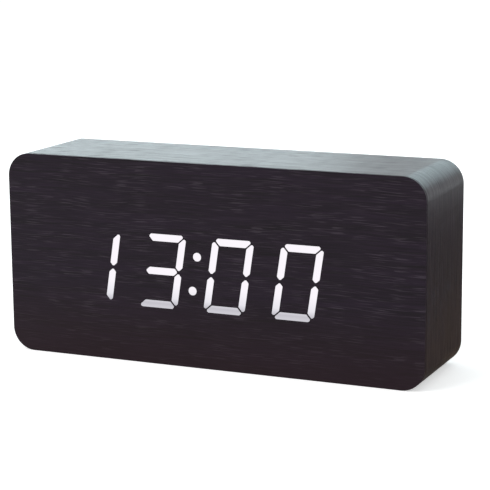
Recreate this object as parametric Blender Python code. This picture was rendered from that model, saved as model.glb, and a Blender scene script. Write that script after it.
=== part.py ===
"""A veneered box clock with white figures, built piece by piece.

All sizes are in metres. +Z is up, the front looks along -Y, and the origin
is on the surface that the clock stands on, under the middle of its case.
"""

import math

import bmesh
import bpy
from mathutils import Matrix, Vector

MILLIMETRE = 0.001

# Case: a ring of board with a post in each corner, wrapped in veneer. What it holds sets its size.
CORNER_RADIUS = 0.008
LEAST_RADIUS = 0.001
VENEER = 0.0006
CORE_WALL = 0.0052
RIM_WALL = 0.0022
POST_SIDE = 0.009
CORNER_STEPS = 6

# Clearances: a glue line under veneer, a gap between pieces, a guide's fit, a cutter's overrun
GLUE_LINE = 0.0002
FIT_GAP = 0.0003
GUIDE_GAP = 0.00015
OVERRUN = 0.002

# Front panel
PANEL_THICKNESS = 0.003
PANEL_STUD_RADIUS = 0.003

# Figures: four of seven segments each, and two dots, all leaning to the right.
# Their distances to the case's left and right ends, underside and top are from their centres.
FIRST_FIGURE_INSET = 0.0335
LAST_FIGURE_INSET = 0.0433
FIGURES_RISE = 0.03205
FIGURES_DROP = 0.03695
DIGIT_PITCH = 0.0244
COLUMN_SPAN = 0.0124
ROW_SPAN = 0.01136
STROKE = 0.00244
SEGMENT_GAP = 0.0005
SEGMENT_ROUND = 0.00035
CORNER_CUT = 0.00065
LEAN_SHARE = 0.154
DOT_RADIUS = 0.00147
DOT_SPAN = 0.0116
DOT_SIDES = 18
SHOWN_FIGURES = ("bc", "abgcd", "abcdef", "abcdef")

# Display housing, and the light guides that fill it
HOUSING_DEPTH = 0.008
HOUSING_WALL = 0.0022
GUIDE_PLATE = 0.0008
GUIDE_BORDER = 0.0006
DOT_PLATE_BORDER = 0.0009

# Circuit boards, what stands on them, and the room for wires behind the display's board
WIRING_SPACE = 0.0118
BOARD_THICKNESS = 0.0016
BOARD_STRIP = 0.008
BOARD_RADIUS = 0.0015
DISPLAY_SCREW_RISE = 0.010
CHIP_LENGTH = 0.0103
CHIP_WIDTH = 0.0075
CHIP_HEIGHT = 0.0023
CHIP_BEVEL = 0.0003
CHIP_SHIFT = 0.035
COIN_RADIUS = 0.010
COIN_HEIGHT = 0.0032
COIN_RIM = 0.0012
COIN_FLOOR = 0.0010
COIN_SHIFT = 0.035
COIN_SIDES = 28
COIN_NOTCH = 0.007

# Rear cover, set into the case's back
COVER_THICKNESS = 0.0024
COVER_RECESS = 0.0015

# Battery bay for four AAA cells, one above the other
CELL_RADIUS = 0.00525
CELL_LENGTH = 0.0445
CELL_NUB_RADIUS = 0.0019
CELL_NUB_HEIGHT = 0.0009
CELL_EDGE = 0.0005
CELL_SPACING = 0.0006
CELL_COUNT = 4
CELL_SIDES = 20
BAY_SIDE_GAP = 0.0018
BAY_WALL = 0.0020
BAY_LEDGE = 0.0010
BAY_FLOOR = 0.0015
BAY_RADIUS = 0.0010

# Battery contacts and their springs
CONTACT_THICKNESS = 0.0004
CONTACT_SIDE = 0.0088
TAB_WIDTH = 0.0025
TAB_REACH = 0.0020
SPRING_LENGTH = 0.0046
SPRING_WIRE_RADIUS = 0.00025
SPRING_BASE_RADIUS = 0.0034
SPRING_TIP_RADIUS = 0.0020
SPRING_TURNS = 4
SPRING_TURN_POINTS = 8

# Battery door, its trunnion pins, and the thumb tab in its notch
DOOR_THICKNESS = 0.0024
DOOR_PIN_RADIUS = 0.0006
DOOR_PIN_LENGTH = 0.0012
DOOR_NOSE_STEPS = 8
THUMB_TAB_WIDTH = 0.010
THUMB_TAB_REACH = 0.0022
THUMB_TAB_THICKNESS = 0.0011
THUMB_NOTCH_SPARE = 0.0016
THUMB_NOTCH_DEPTH = 0.0017
NOTCH_ROUND_SHARE = 0.9
GRIP_RIB_WIDTH = 0.0006
GRIP_RIB_PITCH = 0.0013
GRIP_RIB_HEIGHT = 0.0003
GRIP_RIB_LENGTH = 0.009
GRIP_RIB_COUNT = 4

# Control board, behind the buttons. What it carries is placed from its edges.
CONTROL_SIDE_GAP = 0.003
CONTROL_WIDTH = 0.046
CONTROL_HEIGHT = 0.040
CONTROL_POST_LENGTH = 0.0093
CONTROL_POST_RADIUS = 0.0025
CONTROL_POST_INSET = 0.0046

# Buttons and the switches under them
BUTTON_NAMES = ("button_set", "button_up", "button_down")
BUTTON_PITCH = 0.014
BUTTONS_SHIFT = 0.002
BUTTONS_DROP = 0.0085
BUTTON_RADIUS = 0.0035
BUTTON_PROUD = 0.0009
BUTTON_DOME = 0.0004
BUTTON_FLANGE = 0.0009
BUTTON_FLANGE_THICKNESS = 0.0008
BUTTON_STEM_RADIUS = 0.0015
BUTTON_TRAVEL = 0.0005
BUTTON_SIDES = 20
SWITCH_SIDE = 0.006
SWITCH_HEIGHT = 0.0035
SWITCH_COLLAR_RADIUS = 0.0018
SWITCH_COLLAR_HEIGHT = 0.0006
SWITCH_BEVEL = 0.0003

# Power inlet
JACK_INSET = 0.009
JACK_RISE = 0.0075
JACK_SIDE = 0.009
JACK_NOSE_RADIUS = 0.0032
JACK_BORE_RADIUS = 0.0019
JACK_BORE_DEPTH = 0.0085
JACK_PIN_RADIUS = 0.00065
JACK_NOSE_STEP = 0.0003
JACK_SIDES = 20

# Buzzer and microphone
BUZZER_INSET = 0.013
BUZZER_RISE = 0.0075
BUZZER_RADIUS = 0.006
BUZZER_HEIGHT = 0.0085
BUZZER_PORT_RADIUS = 0.0010
GRILLE_HOLE_RADIUS = 0.0008
GRILLE_RING_RADIUS = 0.0032
GRILLE_RING_COUNT = 6
MICROPHONE_SHIFT = 0.002
MICROPHONE_DROP = 0.0035
MICROPHONE_RADIUS = 0.003
MICROPHONE_HEIGHT = 0.0052
SOUND_HOLE_RADIUS = 0.0008
SOUND_TUBE_WALL = 0.0010

# Screws: pan heads with a cross recess, and the plain holes that they bite in
REAR_SCREW_LENGTH = 0.012
REAR_SHANK_RADIUS = 0.0012
REAR_HEAD_RADIUS = 0.0025
REAR_HEAD_HEIGHT = 0.0015
REAR_SINK_DEPTH = 0.0012
SMALL_SCREW_LENGTH = 0.0065
SMALL_SHANK_RADIUS = 0.0009
SMALL_HEAD_RADIUS = 0.0021
SMALL_HEAD_HEIGHT = 0.0013
RECESS_SLOT_SHARE = 0.22
RECESS_REACH_SHARE = 0.60
RECESS_DEPTH_SHARE = 0.55
SCREW_SIDES = 14
HOLE_SIDES = 16
POST_SIDES = 12

# Leads and the ribbon between the boards
LEAD_RADIUS = 0.0007
LEAD_POINTS = 9
LEAD_SWING = 0.0035
LEAD_PAD_PITCH = 0.004
RIBBON_INSET = 0.011
RIBBON_RISE = 0.0015
RIBBON_DROP = 0.0055
RIBBON_WIDTH = 0.0051
RIBBON_THICKNESS = 0.0010
RIBBON_SWING = 0.005
RIBBON_STEPS = 12

# The case's size: across and up by its figures, and deep by the pile of parts from front to back
FIGURE_SPREAD = (len(SHOWN_FIGURES) - 1) * DIGIT_PITCH
CASE_WIDTH = FIRST_FIGURE_INSET + FIGURE_SPREAD + LAST_FIGURE_INSET
CASE_HEIGHT = FIGURES_RISE + FIGURES_DROP
SKIN = VENEER + GLUE_LINE
DISPLAY_STACK = SKIN + HOUSING_DEPTH + FIT_GAP + BOARD_THICKNESS
BAY_STACK = BAY_FLOOR + FIT_GAP + 2 * CELL_RADIUS + FIT_GAP + DOOR_THICKNESS
CASE_DEPTH = DISPLAY_STACK + WIRING_SPACE + BAY_STACK + COVER_RECESS

# Places worked out from the sizes above
FRONT_Y = -CASE_DEPTH / 2
BACK_Y = CASE_DEPTH / 2
MIDDLE_Z = CASE_HEIGHT / 2
PANEL_FRONT_Y = FRONT_Y + SKIN
PANEL_BACK_Y = PANEL_FRONT_Y + PANEL_THICKNESS
FRONT_LEDGE_Y = PANEL_BACK_Y + FIT_GAP
COVER_FACE_Y = BACK_Y - COVER_RECESS
COVER_INNER_Y = COVER_FACE_Y - COVER_THICKNESS
BACK_LEDGE_Y = COVER_INNER_Y - FIT_GAP
HOUSING_BACK_Y = PANEL_FRONT_Y + HOUSING_DEPTH
BOARD_FRONT_Y = HOUSING_BACK_Y + FIT_GAP
BOARD_BACK_Y = BOARD_FRONT_Y + BOARD_THICKNESS
REAR_SEAT_Y = COVER_FACE_Y - REAR_SINK_DEPTH + FIT_GAP
CONTROL_BACK_Y = COVER_INNER_Y - CONTROL_POST_LENGTH - FIT_GAP
CONTROL_FRONT_Y = CONTROL_BACK_Y - BOARD_THICKNESS
CONTROL_PARTS_Y = CONTROL_BACK_Y + FIT_GAP

DISPLAY_X = FIRST_FIGURE_INSET + (FIGURE_SPREAD - CASE_WIDTH) / 2
DISPLAY_Z = FIGURES_RISE
CHIP_X = DISPLAY_X - CHIP_SHIFT
COIN_X = DISPLAY_X + COIN_SHIFT
HALF_COLUMN = COLUMN_SPAN / 2
DIGIT_REACH = ROW_SPAN + STROKE / 2
DIGIT_HALF_WIDTH = HALF_COLUMN + STROKE / 2
HOUSING_HALF_WIDTH = FIGURE_SPREAD / 2 + DIGIT_HALF_WIDTH + LEAN_SHARE * DIGIT_REACH + HOUSING_WALL
HOUSING_HALF_HEIGHT = DIGIT_REACH + HOUSING_WALL
BOARD_HALF_WIDTH = HOUSING_HALF_WIDTH + BOARD_STRIP
BOARD_SCREW_X = HOUSING_HALF_WIDTH + BOARD_STRIP / 2

CAVITY_HALF_WIDTH = CASE_WIDTH / 2 - SKIN - CORE_WALL
CAVITY_HALF_HEIGHT = CASE_HEIGHT / 2 - SKIN - CORE_WALL
POST_INNER_X = CAVITY_HALF_WIDTH - POST_SIDE
POST_REACH_X = CAVITY_HALF_WIDTH - POST_SIDE / 2
POST_REACH_Z = CAVITY_HALF_HEIGHT - POST_SIDE / 2

CELL_BODY_LENGTH = CELL_LENGTH - CELL_NUB_HEIGHT
CELL_PITCH = 2 * CELL_RADIUS + CELL_SPACING
CONTACT_SPACE = 2 * FIT_GAP + CONTACT_THICKNESS
BAY_LENGTH = CELL_LENGTH + 2 * CONTACT_SPACE + SPRING_LENGTH + FIT_GAP
BAY_HEIGHT = CELL_COUNT * CELL_PITCH + CELL_SPACING
BAY_X = BAY_SIDE_GAP + BAY_WALL + BAY_LENGTH / 2 - POST_INNER_X
DOOR_INNER_Y = COVER_FACE_Y - DOOR_THICKNESS
CELL_Y = DOOR_INNER_Y - FIT_GAP - CELL_RADIUS
BAY_FLOOR_Y = CELL_Y - CELL_RADIUS - FIT_GAP
BAY_OUTER_Y = BAY_FLOOR_Y - BAY_FLOOR
CONTACT_LEFT_X = BAY_X - BAY_LENGTH / 2 + FIT_GAP + CONTACT_THICKNESS / 2
CONTACT_RIGHT_X = BAY_X + BAY_LENGTH / 2 - FIT_GAP - CONTACT_THICKNESS / 2
RECESS_LENGTH = BAY_LENGTH + 2 * BAY_LEDGE
RECESS_HEIGHT = BAY_HEIGHT + 2 * BAY_LEDGE
DOOR_LENGTH = RECESS_LENGTH - 2 * FIT_GAP
DOOR_LOW_Z = MIDDLE_Z - RECESS_HEIGHT / 2 + FIT_GAP
DOOR_TOP_Z = MIDDLE_Z + RECESS_HEIGHT / 2 - FIT_GAP
DOOR_AXIS = Vector((BAY_X, COVER_FACE_Y - DOOR_THICKNESS / 2, DOOR_LOW_Z + DOOR_THICKNESS / 2))

CONTROL_RIGHT_X = POST_INNER_X - CONTROL_SIDE_GAP
CONTROL_LEFT_X = CONTROL_RIGHT_X - CONTROL_WIDTH
CONTROL_X = CONTROL_RIGHT_X - CONTROL_WIDTH / 2
CONTROL_LOW_Z = MIDDLE_Z - CONTROL_HEIGHT / 2
BUTTONS_X = CONTROL_X + BUTTONS_SHIFT
BUTTONS_Z = MIDDLE_Z + CONTROL_HEIGHT / 2 - BUTTONS_DROP
JACK_X = CONTROL_RIGHT_X - JACK_INSET
JACK_Z = CONTROL_LOW_Z + JACK_RISE
BUZZER_X = CONTROL_LEFT_X + BUZZER_INSET
BUZZER_Z = CONTROL_LOW_Z + BUZZER_RISE
MICROPHONE_X = CONTROL_X + MICROPHONE_SHIFT
MICROPHONE_Z = MIDDLE_Z - MICROPHONE_DROP
RIBBON_X = CONTROL_RIGHT_X - RIBBON_INSET


def clear_scene():
    """Start from an empty file."""
    for old in list(bpy.data.objects):
        bpy.data.objects.remove(old)


def surface(name, colour, roughness, metallic=0.0):
    """A plain Principled material in the piece's own colour."""
    material = bpy.data.materials.new(name)
    material.use_nodes = True
    shader = material.node_tree.nodes["Principled BSDF"]
    shader.inputs["Base Color"].default_value = (*colour, 1.0)
    shader.inputs["Roughness"].default_value = roughness
    shader.inputs["Metallic"].default_value = metallic
    return material


def piece_from(name, bm, material=None, place=(0, 0, 0)):
    """An object from a bmesh, with its faces turned outwards."""
    bmesh.ops.recalc_face_normals(bm, faces=bm.faces)
    mesh = bpy.data.meshes.new(name)
    bm.to_mesh(mesh)
    bm.free()
    return piece_of(name, mesh, material, place)


def piece_of(name, data, material=None, place=(0, 0, 0), turn=(0, 0, 0)):
    """An object that shows a mesh or a curve at a place."""
    if material and not data.materials:
        data.materials.append(material)
    piece = bpy.data.objects.new(name, data)
    piece.location = place
    piece.rotation_euler = turn
    bpy.context.scene.collection.objects.link(piece)
    return piece


def add_prism(bm, outline, low_y, high_y):
    """A straight-sided block: an outline in X and Z, drawn out along Y."""
    low = [bm.verts.new((x, low_y, z)) for x, z in outline]
    high = [bm.verts.new((x, high_y, z)) for x, z in outline]
    bm.faces.new(low)
    bm.faces.new(list(reversed(high)))
    count = len(outline)
    for i in range(count):
        j = (i + 1) % count
        bm.faces.new((low[j], low[i], high[i], high[j]))


def prism(name, outline, low_y, high_y, material=None):
    """One block drawn out along Y."""
    bm = bmesh.new()
    add_prism(bm, outline, low_y, high_y)
    return piece_from(name, bm, material)


def prisms(name, outlines, low_y, high_y):
    """Several separate blocks of one depth, for use as one cutter."""
    bm = bmesh.new()
    for outline in outlines:
        add_prism(bm, outline, low_y, high_y)
    return piece_from(name, bm)


def crosswise_prism(name, outline, low_x, high_x, material=None):
    """A block drawn out along X from an outline in Y and Z."""
    block = prism(name, outline, low_x, high_x, material)
    for vertex in block.data.vertices:
        vertex.co = (vertex.co.y, vertex.co.x, vertex.co.z)
    block.data.flip_normals()
    return block


def ring(name, outer, inner, low_y, high_y, material):
    """A band between two outlines with as many points as each other."""
    bm = bmesh.new()
    loops = []
    for outline, y in ((outer, low_y), (outer, high_y), (inner, high_y), (inner, low_y)):
        loops.append([bm.verts.new((x, y, z)) for x, z in outline])
    bridge(bm, loops + loops[:1])
    return piece_from(name, bm, material)


def bridge(bm, loops):
    """Join each loop of vertices to the next with a strip of faces."""
    for first, second in zip(loops, loops[1:]):
        count = len(first)
        for i in range(count):
            j = (i + 1) % count
            bm.faces.new((first[i], first[j], second[j], second[i]))


def turned(name, profile, sides, material=None, place=(0, 0, 0)):
    """A round body about Y. Its profile is a list of radius and Y, and its ends are closed."""
    bm = bmesh.new()
    loops = []
    for radius, y in profile:
        loop = []
        for i in range(sides):
            angle = 2 * math.pi * i / sides
            loop.append(bm.verts.new((radius * math.cos(angle), y, radius * math.sin(angle))))
        loops.append(loop)
    bridge(bm, loops)
    bm.faces.new(loops[0])
    bm.faces.new(list(reversed(loops[-1])))
    piece = piece_from(name, bm, material, place)
    smooth(piece)
    return piece


def smooth(piece):
    """Shade the round sides smooth and keep the corners sharp."""
    piece.data.shade_smooth()
    piece.data.set_sharp_from_angle(angle=math.radians(35))


def combine(piece, others, operation):
    """Cut others from a piece, or join them to it, and keep only the result."""
    for other in others:
        step = piece.modifiers.new("combine", "BOOLEAN")
        step.operation = operation
        step.solver = "EXACT"
        step.object = other
        bpy.context.view_layer.update()
        result = bpy.data.meshes.new_from_object(piece.evaluated_get(bpy.context.evaluated_depsgraph_get()))
        piece.modifiers.clear()
        result.name = piece.name
        piece.data = result
        bpy.data.objects.remove(other)


def cut(piece, *others):
    """Take the others out of a piece."""
    combine(piece, others, "DIFFERENCE")


def join(piece, *others):
    """Make the others one body with a piece."""
    combine(piece, others, "UNION")


def move_origin(piece, point):
    """Put the origin of a piece on its joint's axis without moving the piece."""
    piece.data.transform(Matrix.Translation(-Vector(point)))
    piece.location = point


def rounded_rectangle(x, z, width, height, radius, steps=CORNER_STEPS):
    """The outline of a rectangle with round corners, about its centre."""
    points = []
    for quarter, (side_x, side_z) in enumerate(((1, 1), (-1, 1), (-1, -1), (1, -1))):
        corner_x = x + side_x * (width / 2 - radius)
        corner_z = z + side_z * (height / 2 - radius)
        for i in range(steps + 1):
            angle = math.pi / 2 * (quarter + i / steps)
            points.append((corner_x + radius * math.cos(angle), corner_z + radius * math.sin(angle)))
    return points


def circle(x, z, radius, sides=HOLE_SIDES):
    """The outline of a round hole."""
    angles = [2 * math.pi * i / sides for i in range(sides)]
    return [(x + radius * math.cos(a), z + radius * math.sin(a)) for a in angles]


def rectangle(x, z, width, height):
    """The outline of a plain rectangle about its centre."""
    corners = ((-1, -1), (1, -1), (1, 1), (-1, 1))
    return [(x + side * width / 2, z + rise * height / 2) for side, rise in corners]


def case_outline(inset):
    """The case's front outline, drawn in by an inset."""
    radius = max(CORNER_RADIUS - inset, LEAST_RADIUS)
    return rounded_rectangle(0, MIDDLE_Z, CASE_WIDTH - 2 * inset, CASE_HEIGHT - 2 * inset, radius)


def round_off(points, radius, steps=1):
    """An outline with its corners replaced by small arcs."""
    result = []
    count = len(points)
    for i in range(count):
        corner = Vector(points[i])
        back = (Vector(points[i - 1]) - corner).normalized()
        ahead = (Vector(points[(i + 1) % count]) - corner).normalized()
        half_angle = back.angle(ahead) / 2
        middle = (back + ahead).normalized()
        centre = corner + middle * (radius / math.sin(half_angle))
        start = corner + back * (radius / math.tan(half_angle)) - centre
        end = corner + ahead * (radius / math.tan(half_angle)) - centre
        for k in range(steps + 1):
            share = k / steps
            spoke = (start * (1 - share) + end * share).normalized() * radius
            result.append(tuple(centre + spoke))
    return result


def segment_outline(segment, grow=0.0):
    """One bar of a figure, upright and about the figure's centre. Its ends are mitred to its neighbours."""
    h = STROKE / 2 + grow
    g = (SEGMENT_GAP / 2 - grow) * math.sqrt(2)
    k = CORNER_CUT + grow * math.sqrt(2)
    c = HALF_COLUMN
    r = ROW_SPAN
    inner = c - h - g
    if segment == "g":
        return [(-c + g, 0), (-inner, -h), (inner, -h), (c - g, 0), (inner, h), (-inner, h)]
    if segment in "ad":
        tip_x = c + (k - g) / 2
        tip_z = r + (k + g) / 2
        outer = c + k - h
        right = [(inner, r - h), (tip_x, tip_z), (outer, r + h)]
        points = right + [(-x, z) for x, z in reversed(right)]
    else:
        tip_x = c + (k + g) / 2
        tip_z = r + (k - g) / 2
        points = [(c - h, h + g), (c, g), (c + h, h + g)]
        points += [(c + h, r + k - h), (tip_x, tip_z), (c - h, r - h - g)]
    if segment in "dce":
        points = [(x, -z) for x, z in reversed(points)]
    if segment in "fe":
        points = [(-x, z) for x, z in reversed(points)]
    return points


def lean(points, x):
    """Lean an outline to the right and set it at its place on the display."""
    return [(x + px + LEAN_SHARE * pz, DISPLAY_Z + pz) for px, pz in points]


def digit_x(index):
    """The centre of one of the four figures."""
    return DISPLAY_X - FIGURE_SPREAD / 2 + index * DIGIT_PITCH


def bar(index, segment, grow=0.0, rounding=0.0):
    """The outline of one bar of one figure, in its place."""
    points = segment_outline(segment, grow)
    if rounding:
        points = round_off(points, rounding)
    return lean(points, digit_x(index))


def dots(grow=0.0):
    """The outlines of the two dots between the figures."""
    places = lean([(0, -DOT_SPAN / 2), (0, DOT_SPAN / 2)], DISPLAY_X)
    return [circle(x, z, DOT_RADIUS + grow, DOT_SIDES) for x, z in places]


def rear_screw_places():
    """The middles of the four corner posts."""
    return [(sx * POST_REACH_X, MIDDLE_Z + sz * POST_REACH_Z) for sx in (-1, 1) for sz in (-1, 1)]


def display_screw_places():
    """The four studs beside the display housing."""
    places = []
    for side in (-1, 1):
        for rise in (-1, 1):
            places.append((DISPLAY_X + side * BOARD_SCREW_X, DISPLAY_Z + rise * DISPLAY_SCREW_RISE))
    return places


def control_screw_places():
    """The two posts that carry the control board."""
    left = CONTROL_LEFT_X + CONTROL_POST_INSET
    right = CONTROL_RIGHT_X - CONTROL_POST_INSET
    return [(left, MIDDLE_Z), (right, MIDDLE_Z)]


def button_places():
    """The three buttons, in a row."""
    return [(BUTTONS_X + (i - 1) * BUTTON_PITCH, BUTTONS_Z) for i in range(len(BUTTON_NAMES))]


def cell_z(index):
    """The axis height of a cell, counted from the top."""
    return MIDDLE_Z + ((CELL_COUNT - 1) / 2 - index) * CELL_PITCH


def stepped_cavity():
    """The outline of the case's inside: a rectangle with a square post standing in each corner."""
    step_h = CAVITY_HALF_HEIGHT - POST_SIDE
    outline = []
    for sx, sz in ((1, 1), (-1, 1), (-1, -1), (1, -1)):
        corner = [(CAVITY_HALF_WIDTH, step_h), (POST_INNER_X, step_h), (POST_INNER_X, CAVITY_HALF_HEIGHT)]
        if sx * sz < 0:
            corner.reverse()
        outline += [(sx * x, MIDDLE_Z + sz * z) for x, z in corner]
    return outline


def make_case_core(board):
    """The ring of board, rebated front and back, with a post left in each corner for the screws."""
    core = prism("case_core", case_outline(SKIN), PANEL_FRONT_Y, BACK_Y, board)
    rim = case_outline(SKIN + RIM_WALL)
    pilots = [circle(x, z, REAR_SHANK_RADIUS + FIT_GAP) for x, z in rear_screw_places()]
    cut(
        core,
        prism("front_rebate", rim, PANEL_FRONT_Y - OVERRUN, FRONT_LEDGE_Y),
        prism("rear_rebate", rim, BACK_LEDGE_Y, BACK_Y + OVERRUN),
        prism("cavity", stepped_cavity(), PANEL_FRONT_Y - OVERRUN, BACK_Y + OVERRUN),
        prisms("pilots", pilots, REAR_SEAT_Y - REAR_SCREW_LENGTH - FIT_GAP, BACK_Y + OVERRUN),
    )


def make_case_skin(veneer):
    """The band of veneer round the case, and the sheet on its front with a window for each lit bar."""
    ring("case_wrap", case_outline(0), case_outline(VENEER), PANEL_FRONT_Y, BACK_Y, veneer)
    sheet = prism("front_veneer", case_outline(0), FRONT_Y, FRONT_Y + VENEER, veneer)
    windows = dots(GUIDE_GAP)
    for index, shown in enumerate(SHOWN_FIGURES):
        windows += [bar(index, segment, GUIDE_GAP, SEGMENT_ROUND + GUIDE_GAP) for segment in shown]
    cut(sheet, prisms("windows", windows, FRONT_Y - OVERRUN, FRONT_Y + VENEER + OVERRUN))


def make_front_panel(board):
    """The panel behind the veneer: a window for the display and four studs for its circuit board."""
    panel = prism("front_panel", case_outline(SKIN + RIM_WALL + FIT_GAP), PANEL_FRONT_Y, PANEL_BACK_Y, board)
    stud_top = BOARD_FRONT_Y - FIT_GAP
    studs = [circle(x, z, PANEL_STUD_RADIUS, POST_SIDES) for x, z in display_screw_places()]
    join(panel, prisms("studs", studs, PANEL_BACK_Y - PANEL_THICKNESS / 2, stud_top))
    pilots = [circle(x, z, SMALL_SHANK_RADIUS + FIT_GAP, POST_SIDES) for x, z in display_screw_places()]
    cut(
        panel,
        prism("window", housing_outline(FIT_GAP), PANEL_FRONT_Y - OVERRUN, PANEL_BACK_Y + OVERRUN),
        prisms("pilots", pilots, BOARD_BACK_Y - SMALL_SCREW_LENGTH, stud_top + OVERRUN),
    )


def housing_outline(grow=0.0):
    """The display housing's outline, seen from the front."""
    width = 2 * (HOUSING_HALF_WIDTH + grow)
    height = 2 * (HOUSING_HALF_HEIGHT + grow)
    return rounded_rectangle(DISPLAY_X, DISPLAY_Z, width, height, LEAST_RADIUS + grow, steps=2)


def guide_plate_outline(index, grow=0.0):
    """The plate that joins the bars of one figure, or the two dots where there is no index."""
    if index is None:
        half_w = DOT_RADIUS + DOT_PLATE_BORDER + grow
        half_h = DOT_SPAN / 2 + DOT_RADIUS + DOT_PLATE_BORDER + grow
        centre = DISPLAY_X
    else:
        half_w = DIGIT_HALF_WIDTH + GUIDE_BORDER + grow
        half_h = DIGIT_REACH + GUIDE_BORDER + grow
        centre = digit_x(index)
    return lean(rectangle(0, 0, 2 * half_w, 2 * half_h), centre)


def make_display_housing(plastic):
    """The dark grid that keeps the light of each bar apart, hollowed behind for the light guides."""
    housing = prism("display_housing", housing_outline(), PANEL_FRONT_Y, HOUSING_BACK_Y, plastic)
    holes = dots(GUIDE_GAP)
    for index in range(len(SHOWN_FIGURES)):
        holes += [bar(index, segment, GUIDE_GAP) for segment in "abcdefg"]
    seats = [guide_plate_outline(index, GUIDE_GAP) for index in [None, *range(len(SHOWN_FIGURES))]]
    seat_y = HOUSING_BACK_Y - GUIDE_PLATE - GUIDE_GAP
    cut(
        housing,
        prisms("seats", seats, seat_y, HOUSING_BACK_Y + OVERRUN),
        prisms("holes", holes, PANEL_FRONT_Y - OVERRUN, HOUSING_BACK_Y + OVERRUN),
    )


def make_light_guides(lit):
    """Milky guides: lit bars stand level with the veneer's face, the others stop behind it."""
    plate_y = HOUSING_BACK_Y - GUIDE_PLATE
    root_y = HOUSING_BACK_Y - GUIDE_PLATE / 2
    for index, shown in enumerate(SHOWN_FIGURES):
        guide = prism(f"digit_guide_{index + 1}", guide_plate_outline(index), plate_y, HOUSING_BACK_Y, lit)
        bright = [bar(index, segment, rounding=SEGMENT_ROUND) for segment in shown]
        dark = [bar(index, segment) for segment in "abcdefg" if segment not in shown]
        join(guide, prisms("bright", bright, FRONT_Y, root_y))
        if dark:
            join(guide, prisms("dark", dark, PANEL_FRONT_Y, root_y))
    colon = prism("colon_guide", guide_plate_outline(None), plate_y, HOUSING_BACK_Y, lit)
    join(colon, prisms("dots", dots(), FRONT_Y, root_y))


def make_display_board(laminate, black, steel):
    """The circuit board behind the figures, with its chip and the holder of its coin cell."""
    outline = rounded_rectangle(
        DISPLAY_X, DISPLAY_Z, 2 * BOARD_HALF_WIDTH, 2 * HOUSING_HALF_HEIGHT, BOARD_RADIUS, steps=2
    )
    board = prism("display_board", outline, BOARD_FRONT_Y, BOARD_BACK_Y, laminate)
    holes = [circle(x, z, SMALL_SHANK_RADIUS + FIT_GAP, POST_SIDES) for x, z in display_screw_places()]
    cut(board, prisms("holes", holes, BOARD_FRONT_Y - OVERRUN, BOARD_BACK_Y + OVERRUN))

    parts_y = BOARD_BACK_Y + FIT_GAP
    chip = rounded_rectangle(CHIP_X, DISPLAY_Z, CHIP_LENGTH, CHIP_WIDTH, CHIP_BEVEL, steps=1)
    prism("control_chip", chip, parts_y, parts_y + CHIP_HEIGHT, black)

    cell_y = parts_y + COIN_FLOOR + FIT_GAP
    rim_y = cell_y + COIN_HEIGHT - COIN_RIM / 2
    pocket = COIN_RADIUS + FIT_GAP
    wall = circle(COIN_X, DISPLAY_Z, pocket + COIN_RIM, COIN_SIDES)
    holder = prism("coin_holder", wall, parts_y, rim_y, black)
    notch = rectangle(COIN_X, DISPLAY_Z + pocket, COIN_NOTCH, 2 * COIN_NOTCH)
    cut(
        holder,
        prism("pocket", circle(COIN_X, DISPLAY_Z, pocket, COIN_SIDES), cell_y - FIT_GAP, rim_y + OVERRUN),
        prism("notch", notch, cell_y - FIT_GAP, rim_y + OVERRUN),
    )
    bevel = COIN_RIM / 4
    profile = [
        (COIN_RADIUS - bevel, 0),
        (COIN_RADIUS, bevel),
        (COIN_RADIUS, COIN_HEIGHT - bevel),
        (COIN_RADIUS - bevel, COIN_HEIGHT),
    ]
    turned("coin_cell", profile, COIN_SIDES, steel, (COIN_X, cell_y, DISPLAY_Z))


def screw_mesh(name, length, shank, head, head_height, steel):
    """A pan-head screw with a cross recess. Its seat is at Y zero and its tip points along -Y."""
    profile = [
        (shank / 2, -length),
        (shank, -length + shank),
        (shank, 0),
        (head, 0),
        (head, head_height / 2),
        (head * (1 - RECESS_SLOT_SHARE), head_height),
    ]
    screw = turned(name, profile, SCREW_SIDES, steel)
    reach = head * RECESS_REACH_SHARE
    slot = head * RECESS_SLOT_SHARE
    floor_y = head_height * (1 - RECESS_DEPTH_SHARE)
    outline = []
    for sx, sz in ((1, 1), (-1, 1), (-1, -1), (1, -1)):
        corner = [(reach, slot / 2), (slot / 2, slot / 2), (slot / 2, reach)]
        if sx * sz < 0:
            corner.reverse()
        outline += [(sx * x, sz * z) for x, z in corner]
    cut(screw, prism("recess", outline, floor_y, head_height + OVERRUN))
    smooth(screw)
    mesh = screw.data
    bpy.data.objects.remove(screw)
    return mesh


def make_screws(steel):
    """Four screws in the case's corner posts, four behind the display board, two in the control board."""
    large = screw_mesh(
        "rear_screw", REAR_SCREW_LENGTH, REAR_SHANK_RADIUS, REAR_HEAD_RADIUS, REAR_HEAD_HEIGHT, steel
    )
    small = screw_mesh(
        "small_screw", SMALL_SCREW_LENGTH, SMALL_SHANK_RADIUS, SMALL_HEAD_RADIUS, SMALL_HEAD_HEIGHT, steel
    )
    for i, (x, z) in enumerate(rear_screw_places()):
        piece_of(f"rear_screw_{i + 1}", large, place=(x, REAR_SEAT_Y, z))
    for i, (x, z) in enumerate(display_screw_places()):
        piece_of(f"display_screw_{i + 1}", small, place=(x, BOARD_BACK_Y + FIT_GAP, z))
    for i, (x, z) in enumerate(control_screw_places()):
        place = (x, CONTROL_FRONT_Y - FIT_GAP, z)
        piece_of(f"control_screw_{i + 1}", small, place=place, turn=(0, 0, math.pi))


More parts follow.
